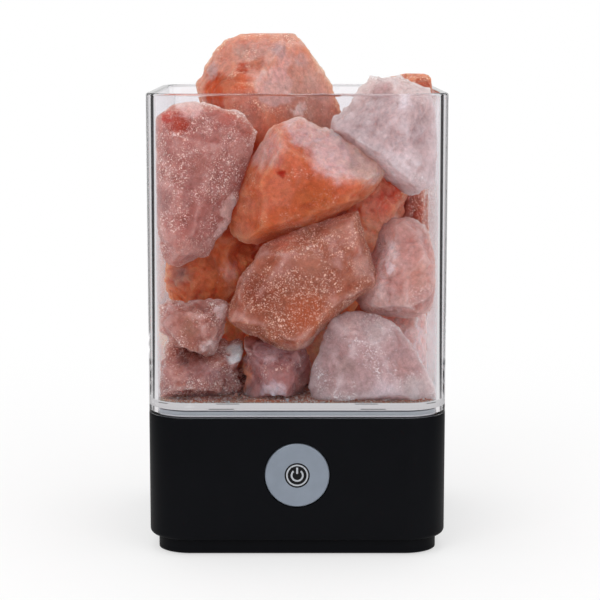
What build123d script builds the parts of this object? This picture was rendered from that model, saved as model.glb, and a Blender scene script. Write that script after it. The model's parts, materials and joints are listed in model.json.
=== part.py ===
from build123d import *
import math
import os

import numpy as np

# A salt crystal lamp: a square black base with a push button, a clear cup on top of it,
# and a pile of rock salt in the cup, lit from below through a milky plate.
# Millimetres. The origin is the middle of the footprint on the table, +Z is up and
# the button faces -Y.

# ---- Outline of the lamp ----
body_size = 95.0  # width and depth of the housing and of the cup
corner_radius = 13.5
pad_proud = 0.5  # how far the feet stand out of the bottom cover
plinth_height = 4.6
plinth_inset = 2.8
housing_height = 39.9
cup_height = 101.5

# ---- Housing ----
housing_wall = 2.2
deck_thickness = 2.2
housing_foot_fillet = 1.5
housing_top_fillet = 0.4
window_inset = 15.5  # from the housing's outside to the opening that lets the light up
window_corner = 6.0

# ---- Clear cup ----
cup_wall = 2.8
cup_floor = 2.4
cup_rim_round = 0.9
tab_width = 8.0
tab_thickness = 1.6
tab_spread = 48.0  # between the two tabs on one side
tab_inset = 5.0  # from the housing's outside to the tab's outer face
tab_hook = 0.9
tab_hook_height = 1.4
tab_clearance = 0.2
tab_flex_room = 1.0

# ---- Light ----
diffuser_thickness = 2.0
diffuser_clearance = 0.3
diffuser_top_gap = 0.1
reflector_depth = 10.0
reflector_wall = 1.0
reflector_flange_thickness = 1.6
led_opening = 36.0
service_gap = 1.0  # from the button's board to the reflector
ear_reach = 5.0  # from the flange's edge to the screw in each ear
ear_spread_y = 24.0
ear_radius = 3.2
led_board_margin = 2.0  # from the flange's edge to the board's edge
led_board_screw_margin = 3.0
led_pitch = 11.0
led_size = 5.0
led_height = 1.4
led_rows = 3

# ---- Bottom cover, feet and screws ----
cover_plate = 2.4
cover_rim_wall = 2.4
locating_rim_height = 2.5
locating_clearance = 0.3
cover_screw_inset = 10.5  # from the housing's outside to the screw's middle
cover_boss_radius = 3.6
cover_screw_radius = 1.25
cover_screw_length = 10.0
cover_screw_head_radius = 2.6
cover_screw_head_height = 1.6
head_recess_depth = 2.0
foot_radius = 5.0
foot_thickness = 1.5
foot_inset = 17.5
pad_clearance = 0.1
small_screw_radius = 0.95
small_screw_length = 5.0
small_screw_head_radius = 1.9
small_screw_head_height = 1.3
screw_clearance = 0.05
hole_clearance = 0.3
boss_wall = 1.4

# ---- Circuit boards and the socket ----
board_thickness = 1.6
main_board_width = 38.0
main_board_depth = 32.0
main_board_height = 10.0  # underside of the main board above the table
main_board_edge_gap = 4.5  # from the housing's outside to the board's rear edge
main_board_screw_x = 31.0
main_board_screw_y = 24.0
chip_length = 5.0
chip_width = 4.0
chip_height = 1.6
chip_x = -2.0
small_chip_length = 2.8
small_chip_width = 1.6
part_reach_x = 8.0  # from the board's middle to its outer parts
part_reach_y = 4.0
capacitor_radius = 3.0
capacitor_height = 7.0
connector_width = 7.5
connector_depth = 6.0
connector_height = 5.0
connector_spread = 18.0
connector_edge_gap = 1.0
led_connector_y = 4.0
socket_width = 7.6
socket_height = 2.8
socket_depth = 5.6
socket_wall = 0.35
socket_clearance = 0.2
tongue_width = 4.4
tongue_thickness = 0.7
tongue_depth = 4.6
plug_recess_width = 12.0
plug_recess_height = 8.4
plug_recess_depth = 1.2
lead_radius = 0.55
lead_pitch = 2.5
lead_fall = 12.5
lead_low_height = 8.5

# ---- Power button ----
button_drop = 18.4  # from the housing's top to the button's middle
button_radius = 10.2
button_chamfer = 0.3
button_face_thickness = 1.8
button_gap = 0.3
button_travel = 0.8
guide_gap = 0.2
flange_radius = 12.0
flange_thickness = 1.5
collar_length = 3.0
collar_wall = 2.2
key_width = 2.4
key_height = 1.0
stem_radius = 2.5
stem_length = 3.4
icon_radius = 4.0
icon_depth = 0.5
mark_depth = 0.2
ring_outer_radius = 3.48
ring_inner_radius = 3.0
arc_outer_radius = 2.05
arc_inner_radius = 1.5
arc_gap_angle = 80.0
bar_width = 0.58
bar_length = 2.0
switch_size = 6.0
switch_depth = 3.4
plunger_radius = 1.7
plunger_proud = 1.2
plunger_seat = 0.8
plunger_clearance = 0.1
button_board_width = 43.0
button_board_height = 14.0
button_board_screw_spread = 36.0

# ---- Salt stones ----
stone_gap = 0.3  # left between stones that lean on each other
wall_gap = 0.3  # left between a stone and the cup
pile_width = 89.4  # inside width of the cup that the pile was laid out in

# ---- Worked out from the sizes above ----
housing_bottom = pad_proud + plinth_height
base_top = housing_bottom + housing_height
deck_bottom = base_top - deck_thickness
cup_top = base_top + cup_height
half = body_size / 2
button_height = base_top - button_drop
window_size = body_size - 2 * window_inset
cover_screw_spread = body_size - 2 * cover_screw_inset
foot_spread = body_size - 2 * foot_inset
inner_size = body_size - 2 * housing_wall
inner_corner = corner_radius - housing_wall
cup_inner_size = body_size - 2 * cup_wall
cup_inner_corner = corner_radius - cup_wall
cup_floor_bottom = base_top + diffuser_thickness + diffuser_top_gap
cup_floor_top = cup_floor_bottom + cup_floor
plinth_size = body_size - 2 * plinth_inset
plinth_corner = corner_radius - plinth_inset
reflector_bottom = deck_bottom - reflector_depth
flange_top = reflector_bottom + reflector_flange_thickness
led_board_bottom = reflector_bottom - board_thickness
main_board_top = main_board_height + board_thickness
main_board_y = half - main_board_edge_gap - main_board_depth / 2
socket_mouth_y = half - plug_recess_depth
socket_center_z = main_board_top + socket_height / 2
tab_outer_y = half - tab_inset
tab_inner_y = tab_outer_y - tab_thickness
ear_boss_radius = small_screw_radius + boss_wall
inner_wall_y = -half + housing_wall
button_back_y = -half + button_face_thickness
flange_front_y = inner_wall_y + guide_gap
flange_back_y = flange_front_y + flange_thickness
stem_tip_y = flange_back_y + stem_length
switch_front_y = stem_tip_y + plunger_proud
button_board_y = switch_front_y + switch_depth
button_board_back_y = button_board_y + board_thickness
reflector_flange = -2 * (button_board_back_y + service_gap)
ear_spread_x = reflector_flange + 2 * ear_reach
led_board_size = reflector_flange - 2 * led_board_margin
led_board_screw_spread = led_board_size - 2 * led_board_screw_margin
collar_inner_radius = flange_radius + guide_gap
cover_screw_seat = pad_proud + head_recess_depth

os.makedirs("parts", exist_ok=True)


def front_plane(y):
    """A sketch plane facing the front at depth y, centred on the button."""
    return Plane(origin=(0, y, button_height), x_dir=(1, 0, 0), z_dir=(0, -1, 0))


def rear_plane(y):
    """A sketch plane facing the rear at depth y, centred on the socket."""
    return Plane(origin=(0, y, socket_center_z), x_dir=(-1, 0, 0), z_dir=(0, 1, 0))


def make_screw(head_radius, head_height, shank_radius, length):
    """A pan-head screw: the head's underside is at z = 0 and the shank points down."""
    slot = head_radius * 0.32
    with BuildPart() as screw:
        with BuildSketch(Plane.XY):
            Circle(head_radius)
        extrude(amount=head_height)
        fillet(screw.edges().group_by(Axis.Z)[-1], head_height * 0.45)
        with BuildSketch(Plane.XY):
            Circle(shank_radius)
        extrude(amount=-length)
        chamfer(screw.edges().group_by(Axis.Z)[0], shank_radius * 0.4)
        with BuildSketch(Plane.XY.offset(head_height)):
            Rectangle(head_radius * 1.2, slot)
            Rectangle(slot, head_radius * 1.2)
        extrude(amount=-head_height * 0.6, mode=Mode.SUBTRACT)
    return screw.part


def save(builder, name):
    """Name the finished piece and write it out."""
    builder.part.label = name
    export_step(builder.part, f"parts/{name}.step")


cover_screw = make_screw(
    cover_screw_head_radius, cover_screw_head_height, cover_screw_radius, cover_screw_length
)
small_screw = make_screw(
    small_screw_head_radius, small_screw_head_height, small_screw_radius, small_screw_length
)
tab_places = [(sx * tab_spread / 2, sy) for sx in (-1, 1) for sy in (-1, 1)]

# ---- Base housing: open below, with the deck that carries the cup ----
with BuildPart() as base_housing:
    with BuildSketch(Plane.XY.offset(housing_bottom)):
        RectangleRounded(body_size, body_size, corner_radius)
    extrude(amount=housing_height)
    fillet(base_housing.edges().group_by(Axis.Z)[0], housing_foot_fillet)
    fillet(base_housing.edges().group_by(Axis.Z)[-1], housing_top_fillet)
    with BuildSketch(Plane.XY.offset(housing_bottom)):
        RectangleRounded(inner_size, inner_size, inner_corner)
    extrude(amount=housing_height - deck_thickness, mode=Mode.SUBTRACT)
    # light window and the slots that the cup's tabs snap through
    with BuildSketch(Plane.XY.offset(base_top)):
        RectangleRounded(window_size, window_size, window_corner)
        for x, side in tab_places:
            slot_depth = tab_thickness + tab_flex_room + tab_clearance
            with Locations((x, side * (tab_outer_y + tab_clearance - slot_depth / 2))):
                Rectangle(tab_width + 2 * tab_clearance, slot_depth)
    extrude(amount=-deck_thickness, mode=Mode.SUBTRACT)
    # bosses for the cover's screws
    with BuildSketch(Plane.XY.offset(housing_bottom)):
        with GridLocations(cover_screw_spread, cover_screw_spread, 2, 2):
            Circle(cover_boss_radius)
    extrude(amount=housing_height - deck_thickness)
    with BuildSketch(Plane.XY.offset(housing_bottom)):
        with GridLocations(cover_screw_spread, cover_screw_spread, 2, 2):
            Circle(cover_screw_radius + screw_clearance)
    extrude(amount=cover_screw_length, mode=Mode.SUBTRACT)
    # bosses for the reflector's screws
    with BuildSketch(Plane.XY.offset(flange_top)):
        with GridLocations(ear_spread_x, ear_spread_y, 2, 2):
            Circle(ear_boss_radius)
    extrude(amount=deck_bottom - flange_top)
    with BuildSketch(Plane.XY.offset(flange_top)):
        with GridLocations(ear_spread_x, ear_spread_y, 2, 2):
            Circle(small_screw_radius + screw_clearance)
    extrude(amount=small_screw_length, mode=Mode.SUBTRACT)
    # collar that guides the button, with a keyway below, and two board posts
    with BuildSketch(front_plane(inner_wall_y)):
        Circle(collar_inner_radius + collar_wall)
        Circle(collar_inner_radius, mode=Mode.SUBTRACT)
        with Locations((0, -collar_inner_radius)):
            Rectangle(key_width + 2 * guide_gap, 2 * (key_height + guide_gap), mode=Mode.SUBTRACT)
    extrude(amount=-collar_length)
    with BuildSketch(front_plane(inner_wall_y)):
        with GridLocations(button_board_screw_spread, 1, 2, 1):
            Circle(ear_boss_radius)
    extrude(amount=inner_wall_y - button_board_y)
    with BuildSketch(front_plane(button_board_y)):
        with GridLocations(button_board_screw_spread, 1, 2, 1):
            Circle(small_screw_radius + screw_clearance)
    extrude(amount=small_screw_length, mode=Mode.SUBTRACT)
    # button hole in the front, and the plug recess and socket hole in the rear
    with BuildSketch(front_plane(-half)):
        Circle(button_radius + button_gap)
    extrude(amount=-housing_wall, mode=Mode.SUBTRACT)
    with BuildSketch(rear_plane(half)):
        RectangleRounded(plug_recess_width, plug_recess_height, plug_recess_height * 0.35)
    extrude(amount=-plug_recess_depth, mode=Mode.SUBTRACT)
    with BuildSketch(rear_plane(half)):
        Rectangle(socket_width + 2 * socket_clearance, socket_height + 2 * socket_clearance)
    extrude(amount=-housing_wall, mode=Mode.SUBTRACT)
save(base_housing, "base_housing")

# ---- Bottom cover: the set-back plinth, with a locating rim and the main board's posts ----
with BuildPart() as bottom_cover:
    with BuildSketch(Plane.XY.offset(pad_proud)):
        RectangleRounded(plinth_size, plinth_size, plinth_corner)
    extrude(amount=plinth_height)
    rim_size = inner_size - 2 * locating_clearance
    rim_corner = inner_corner - locating_clearance
    with BuildSketch(Plane.XY.offset(housing_bottom)):
        RectangleRounded(rim_size, rim_size, rim_corner)
    extrude(amount=locating_rim_height)
    pocket_size = plinth_size - 2 * cover_rim_wall
    with BuildSketch(Plane.XY.offset(pad_proud + cover_plate)):
        RectangleRounded(pocket_size, pocket_size, plinth_corner - cover_rim_wall)
    extrude(amount=plinth_height + locating_rim_height - cover_plate, mode=Mode.SUBTRACT)
    with BuildSketch(Plane.XY.offset(pad_proud)):
        with GridLocations(cover_screw_spread, cover_screw_spread, 2, 2):
            Circle(cover_boss_radius)
    extrude(amount=plinth_height)
    with BuildSketch(Plane.XY.offset(pad_proud)):
        with GridLocations(cover_screw_spread, cover_screw_spread, 2, 2):
            Circle(cover_screw_radius + hole_clearance)
    extrude(amount=plinth_height, mode=Mode.SUBTRACT)
    with BuildSketch(Plane.XY.offset(pad_proud)):
        with GridLocations(cover_screw_spread, cover_screw_spread, 2, 2):
            Circle(cover_screw_head_radius + hole_clearance)
    extrude(amount=head_recess_depth, mode=Mode.SUBTRACT)
    with BuildSketch(Plane.XY.offset(pad_proud)):
        with GridLocations(foot_spread, foot_spread, 2, 2):
            Circle(foot_radius + pad_clearance)
    extrude(amount=foot_thickness - pad_proud, mode=Mode.SUBTRACT)
    with BuildSketch(Plane.XY.offset(pad_proud + cover_plate)):
        with Locations((0, main_board_y)):
            with GridLocations(main_board_screw_x, main_board_screw_y, 2, 2):
                Circle(ear_boss_radius)
    extrude(amount=main_board_height - pad_proud - cover_plate)
    with BuildSketch(Plane.XY.offset(main_board_height)):
        with Locations((0, main_board_y)):
            with GridLocations(main_board_screw_x, main_board_screw_y, 2, 2):
                Circle(small_screw_radius + screw_clearance)
    extrude(amount=-small_screw_length, mode=Mode.SUBTRACT)
save(bottom_cover, "bottom_cover")

with BuildPart() as cover_screws:
    for x in (-cover_screw_spread / 2, cover_screw_spread / 2):
        for y in (-cover_screw_spread / 2, cover_screw_spread / 2):
            with Locations(Location((x, y, cover_screw_seat), (180, 0, 0))):
                add(cover_screw)
save(cover_screws, "cover_screws")

with BuildPart() as foot_pads:
    with BuildSketch(Plane.XY):
        with GridLocations(foot_spread, foot_spread, 2, 2):
            Circle(foot_radius)
    extrude(amount=foot_thickness)
    fillet(foot_pads.edges().group_by(Axis.Z)[0], pad_proud * 0.6)
save(foot_pads, "foot_pads")

# ---- Crystal cup: clear walls, a floor, and a skirt that stands on the deck ----
with BuildPart() as crystal_cup:
    with BuildSketch(Plane.XY.offset(base_top)):
        RectangleRounded(body_size, body_size, corner_radius)
    extrude(amount=cup_height)
    with BuildSketch(Plane.XY.offset(cup_floor_top)):
        RectangleRounded(cup_inner_size, cup_inner_size, cup_inner_corner)
    extrude(amount=cup_top - cup_floor_top, mode=Mode.SUBTRACT)
    fillet(crystal_cup.edges().group_by(Axis.Z)[-1], cup_rim_round)
    with BuildSketch(Plane.XY.offset(base_top)):
        RectangleRounded(cup_inner_size, cup_inner_size, cup_inner_corner)
    extrude(amount=cup_floor_bottom - base_top, mode=Mode.SUBTRACT)
    # snap tabs: down through the diffuser and the deck, hooked outwards under the deck
    hook_top = deck_bottom - tab_clearance
    for x, side in tab_places:
        with BuildSketch(Plane.XY.offset(cup_floor_bottom)):
            with Locations((x, side * (tab_inner_y + tab_outer_y) / 2)):
                Rectangle(tab_width, tab_thickness)
        extrude(amount=hook_top - tab_hook_height - cup_floor_bottom)
        with BuildSketch(Plane.XY.offset(hook_top)):
            with Locations((x, side * (tab_outer_y + tab_hook / 2))):
                Rectangle(tab_width, tab_hook)
        extrude(amount=-tab_hook_height)
save(crystal_cup, "crystal_cup")

with BuildPart() as light_diffuser:
    diffuser_size = cup_inner_size - 2 * diffuser_clearance
    with BuildSketch(Plane.XY.offset(base_top)):
        RectangleRounded(diffuser_size, diffuser_size, cup_inner_corner - diffuser_clearance)
        for x, side in tab_places:
            slot_depth = tab_thickness + tab_flex_room + tab_clearance
            with Locations((x, side * (tab_outer_y + tab_clearance - slot_depth / 2))):
                Rectangle(tab_width + 2 * tab_clearance, slot_depth, mode=Mode.SUBTRACT)
    extrude(amount=diffuser_thickness)
save(light_diffuser, "light_diffuser")

# ---- Reflector: a flange over the lamp board, and a collar that opens up to the window ----
with BuildPart() as reflector:
    collar_top = window_size + 2 * reflector_wall
    collar_bottom = led_opening + 2 * reflector_wall
    with BuildSketch(Plane.XY.offset(reflector_bottom)):
        RectangleRounded(collar_bottom, collar_bottom, window_corner)
    with BuildSketch(Plane.XY.offset(deck_bottom)):
        RectangleRounded(collar_top, collar_top, window_corner)
    loft()
    with BuildSketch(Plane.XY.offset(reflector_bottom)):
        RectangleRounded(reflector_flange, reflector_flange, window_corner)
        for y in (-ear_spread_y / 2, ear_spread_y / 2):
            with Locations((0, y)):
                SlotCenterToCenter(ear_spread_x, 2 * ear_radius)
    extrude(amount=reflector_flange_thickness)
    with BuildSketch(Plane.XY.offset(reflector_bottom)):
        with GridLocations(led_board_screw_spread, led_board_screw_spread, 2, 2):
            Circle(ear_boss_radius)
    extrude(amount=small_screw_length)
    with BuildSketch(Plane.XY.offset(reflector_bottom)):
        RectangleRounded(led_opening, led_opening, window_corner)
    with BuildSketch(Plane.XY.offset(deck_bottom)):
        RectangleRounded(window_size, window_size, window_corner)
    loft(mode=Mode.SUBTRACT)
    with BuildSketch(Plane.XY.offset(reflector_bottom)):
        with GridLocations(led_board_screw_spread, led_board_screw_spread, 2, 2):
            Circle(small_screw_radius + screw_clearance)
    extrude(amount=small_screw_length - board_thickness, mode=Mode.SUBTRACT)
    with BuildSketch(Plane.XY.offset(reflector_bottom)):
        with GridLocations(ear_spread_x, ear_spread_y, 2, 2):
            Circle(small_screw_radius + hole_clearance)
    extrude(amount=reflector_flange_thickness, mode=Mode.SUBTRACT)
save(reflector, "reflector")

with BuildPart() as reflector_screws:
    for x in (-ear_spread_x / 2, ear_spread_x / 2):
        for y in (-ear_spread_y / 2, ear_spread_y / 2):
            with Locations(Location((x, y, reflector_bottom), (180, 0, 0))):
                add(small_screw)
save(reflector_screws, "reflector_screws")

# ---- Lamp board with its LEDs, screwed up against the reflector's flange ----
with BuildPart() as led_board:
    with BuildSketch(Plane.XY.offset(led_board_bottom)):
        RectangleRounded(led_board_size, led_board_size, board_thickness)
        with GridLocations(led_board_screw_spread, led_board_screw_spread, 2, 2):
            Circle(small_screw_radius + hole_clearance, mode=Mode.SUBTRACT)
    extrude(amount=board_thickness)
save(led_board, "led_board")

with BuildPart() as led_chips:
    with BuildSketch(Plane.XY.offset(reflector_bottom)):
        with GridLocations(led_pitch, led_pitch, led_rows, led_rows):
            Rectangle(led_size, led_size)
    extrude(amount=led_height)
    with BuildSketch(Plane.XY.offset(reflector_bottom + led_height)):
        with GridLocations(led_pitch, led_pitch, led_rows, led_rows):
            Circle(led_size * 0.4)
    extrude(amount=-led_height * 0.2, mode=Mode.SUBTRACT)
save(led_chips, "led_chips")

with BuildPart() as led_board_screws:
    for x in (-led_board_screw_spread / 2, led_board_screw_spread / 2):
        for y in (-led_board_screw_spread / 2, led_board_screw_spread / 2):
            with Locations(Location((x, y, led_board_bottom), (180, 0, 0))):
                add(small_screw)
save(led_board_screws, "led_board_screws")

# ---- Main board on the cover's posts, with its parts and the power socket ----
with BuildPart() as main_board:
    with BuildSketch(Plane.XY.offset(main_board_height)):
        with Locations((0, main_board_y)):
            RectangleRounded(main_board_width, main_board_depth, board_thickness)
            with GridLocations(main_board_screw_x, main_board_screw_y, 2, 2):
                Circle(small_screw_radius + hole_clearance, mode=Mode.SUBTRACT)
    extrude(amount=board_thickness)
save(main_board, "main_board")

with BuildPart() as main_board_screws:
    for x in (-main_board_screw_x / 2, main_board_screw_x / 2):
        for y in (-main_board_screw_y / 2, main_board_screw_y / 2):
            with Locations((x, main_board_y + y, main_board_top)):
                add(small_screw)
save(main_board_screws, "main_board_screws")

with BuildPart() as board_components:
    with BuildSketch(Plane.XY.offset(main_board_top)):
        with Locations((chip_x, main_board_y)):
            Rectangle(chip_length, chip_width)
        for side in (-1, 1):
            with Locations((side * part_reach_x, main_board_y - side * part_reach_y)):
                Rectangle(small_chip_length, small_chip_width)
    extrude(amount=chip_height)
    with BuildSketch(Plane.XY.offset(main_board_top)):
        with Locations((part_reach_x, main_board_y + part_reach_y)):
            Circle(capacitor_radius)
    extrude(amount=capacitor_height)
    fillet(board_components.edges().group_by(Axis.Z)[-1], capacitor_radius * 0.15)
save(board_components, "board_components")

with BuildPart() as usb_shell:
    with BuildSketch(rear_plane(socket_mouth_y)):
        RectangleRounded(socket_width, socket_height, socket_height * 0.3)
    extrude(amount=-socket_depth)
    with BuildSketch(rear_plane(socket_mouth_y)):
        RectangleRounded(
            socket_width - 2 * socket_wall, socket_height - 2 * socket_wall, socket_height * 0.2
        )
    extrude(amount=socket_wall - socket_depth, mode=Mode.SUBTRACT)
save(usb_shell, "usb_shell")

with BuildPart() as usb_tongue:
    with BuildSketch(rear_plane(socket_mouth_y - socket_depth + socket_wall)):
        Rectangle(tongue_width, tongue_thickness)
    extrude(amount=tongue_depth)
save(usb_tongue, "usb_tongue")

# ---- Plug-in lead connectors: two on the main board, one on each small board ----
connector_y = main_board_y - main_board_depth / 2 + connector_depth / 2 + connector_edge_gap
connector_mouth_y = connector_y - connector_depth / 2
button_connector_y = button_board_back_y + connector_height / 2
button_connector_bottom = button_height - connector_depth / 2
with BuildPart() as lead_connectors:
    with BuildSketch(Plane.XY.offset(main_board_top)):
        with Locations((0, connector_y)):
            with GridLocations(connector_spread, 1, 2, 1):
                Rectangle(connector_width, connector_depth)
    extrude(amount=connector_height)
    with BuildSketch(Plane.XY.offset(led_board_bottom)):
        with Locations((-connector_spread / 2, led_connector_y)):
            Rectangle(connector_width, connector_depth)
    extrude(amount=-connector_height)
    with BuildSketch(Plane.XY.offset(button_connector_bottom)):
        with Locations((connector_spread / 2, button_connector_y)):
            Rectangle(connector_width, connector_height)
    extrude(amount=connector_depth)
save(lead_connectors, "lead_connectors")


def corner_radii(route):
    """One fillet radius for each corner of a route, as large as its two runs allow."""
    radii = []
    for before, corner, after in zip(route, route[1:], route[2:]):
        run_in = Vector(*corner) - Vector(*before)
        run_out = Vector(*after) - Vector(*corner)
        half_turn = math.radians(run_in.get_angle(run_out) / 2)
        radii.append(0.45 * min(run_in.length, run_out.length) / math.tan(half_turn))
    return radii


def make_lead(route):
    """An insulated wire along straight runs joined by tangent arcs."""
    radii = corner_radii(route)
    print("lead radii", [round(radius, 1) for radius in radii])
    with BuildPart() as lead:
        with BuildLine() as path:
            FilletPolyline(*route, radius=radii)
        with BuildSketch(Plane(origin=path.line @ 0, z_dir=path.line % 0)):
            Circle(lead_radius)
        sweep()
    return lead.part


lead_mid_z = main_board_top + connector_height / 2
led_lead_z = led_board_bottom - connector_height / 2
led_mouth_y = led_connector_y - connector_depth / 2
led_lead_y = led_mouth_y - connector_depth
led_lead_x = -connector_spread / 2
button_lead_x = connector_spread / 2
led_routes = [
    [(x, connector_mouth_y, lead_mid_z), (x, led_lead_y, lead_mid_z),
     (x, led_lead_y, led_lead_z), (x, led_mouth_y, led_lead_z)]
    for x in (led_lead_x - lead_pitch / 2, led_lead_x + lead_pitch / 2)
]
button_routes = [
    [(x, button_connector_y, button_connector_bottom),
     (x, button_connector_y, button_connector_bottom - lead_fall),
     (x, button_connector_y * 0.45, lead_low_height),
     (x, 0, lead_mid_z),
     (x, connector_mouth_y, lead_mid_z)]
    for x in (button_lead_x - lead_pitch / 2, button_lead_x + lead_pitch / 2)
]
led_wires = [make_lead(route) for route in led_routes]
button_wires = [make_lead(route) for route in button_routes]

with BuildPart() as led_lead_red:
    add(led_wires[0])
save(led_lead_red, "led_lead_red")

with BuildPart() as led_lead_black:
    add(led_wires[1])
save(led_lead_black, "led_lead_black")

with BuildPart() as button_leads:
    for wire in button_wires:
        add(wire)
save(button_leads, "button_leads")


# ---- Power button: metal face, printed icon, carrier, and the switch behind it ----
with BuildSketch(front_plane(-half)) as power_sign:
    Circle(ring_outer_radius)
    Circle(ring_inner_radius, mode=Mode.SUBTRACT)
    Circle(arc_outer_radius)
    Circle(arc_inner_radius, mode=Mode.SUBTRACT)
    gap_reach = (arc_outer_radius + ring_inner_radius) / 2
    gap_spread = gap_reach * math.tan(math.radians(arc_gap_angle / 2))
    with BuildLine():
        Polyline((0, 0), (gap_spread, gap_reach), (-gap_spread, gap_reach), close=True)
    make_face(mode=Mode.SUBTRACT)
    with Locations((0, gap_reach - bar_length / 2)):
        Rectangle(bar_width, bar_length)

with BuildPart() as button_face:
    with BuildSketch(front_plane(button_back_y)):
        Circle(button_radius)
    extrude(amount=button_face_thickness)
    chamfer(button_face.edges().group_by(Axis.Y)[0], button_chamfer)
    with BuildSketch(front_plane(-half)):
        Circle(icon_radius)
    extrude(amount=-icon_depth, mode=Mode.SUBTRACT)
save(button_face, "button_face")

with BuildPart() as button_icon_disc:
    with BuildSketch(front_plane(-half)):
        Circle(icon_radius)
    extrude(amount=-icon_depth)
    extrude(power_sign.sketch, amount=-mark_depth, mode=Mode.SUBTRACT)
save(button_icon_disc, "button_icon_disc")

with BuildPart() as button_icon_marks:
    extrude(power_sign.sketch, amount=-mark_depth)
save(button_icon_marks, "button_icon_marks")

with BuildPart() as button_carrier:
    with BuildSketch(front_plane(flange_front_y)):
        Circle(button_radius)
    extrude(amount=flange_front_y - button_back_y)
    with BuildSketch(front_plane(flange_front_y)):
        Circle(flange_radius)
        with Locations((0, -flange_radius)):
            Rectangle(key_width, 2 * key_height)
    extrude(amount=-flange_thickness)
    with BuildSketch(front_plane(flange_back_y)):
        Circle(stem_radius)
    extrude(amount=-stem_length)
save(button_carrier, "button_carrier")

with BuildPart() as switch_plunger:
    with BuildSketch(front_plane(stem_tip_y)):
        Circle(plunger_radius)
    extrude(amount=-plunger_proud - plunger_seat)
save(switch_plunger, "switch_plunger")

with BuildPart() as tact_switch:
    with BuildSketch(front_plane(switch_front_y)):
        RectangleRounded(switch_size, switch_size, switch_size * 0.1)
    extrude(amount=-switch_depth)
    with BuildSketch(front_plane(switch_front_y)):
        Circle(plunger_radius + plunger_clearance)
    extrude(amount=-plunger_seat - button_travel - guide_gap, mode=Mode.SUBTRACT)
save(tact_switch, "tact_switch")

with BuildPart() as button_board:
    with BuildSketch(front_plane(button_board_y)):
        RectangleRounded(button_board_width, button_board_height, board_thickness)
        with GridLocations(button_board_screw_spread, 1, 2, 1):
            Circle(small_screw_radius + hole_clearance, mode=Mode.SUBTRACT)
    extrude(amount=-board_thickness)
save(button_board, "button_board")

with BuildPart() as button_board_screws:
    for x in (-button_board_screw_spread / 2, button_board_screw_spread / 2):
        with Locations(Location((x, button_board_back_y, button_height), (-90, 0, 0))):
            add(small_screw)
save(button_board_screws, "button_board_screws")

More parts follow.
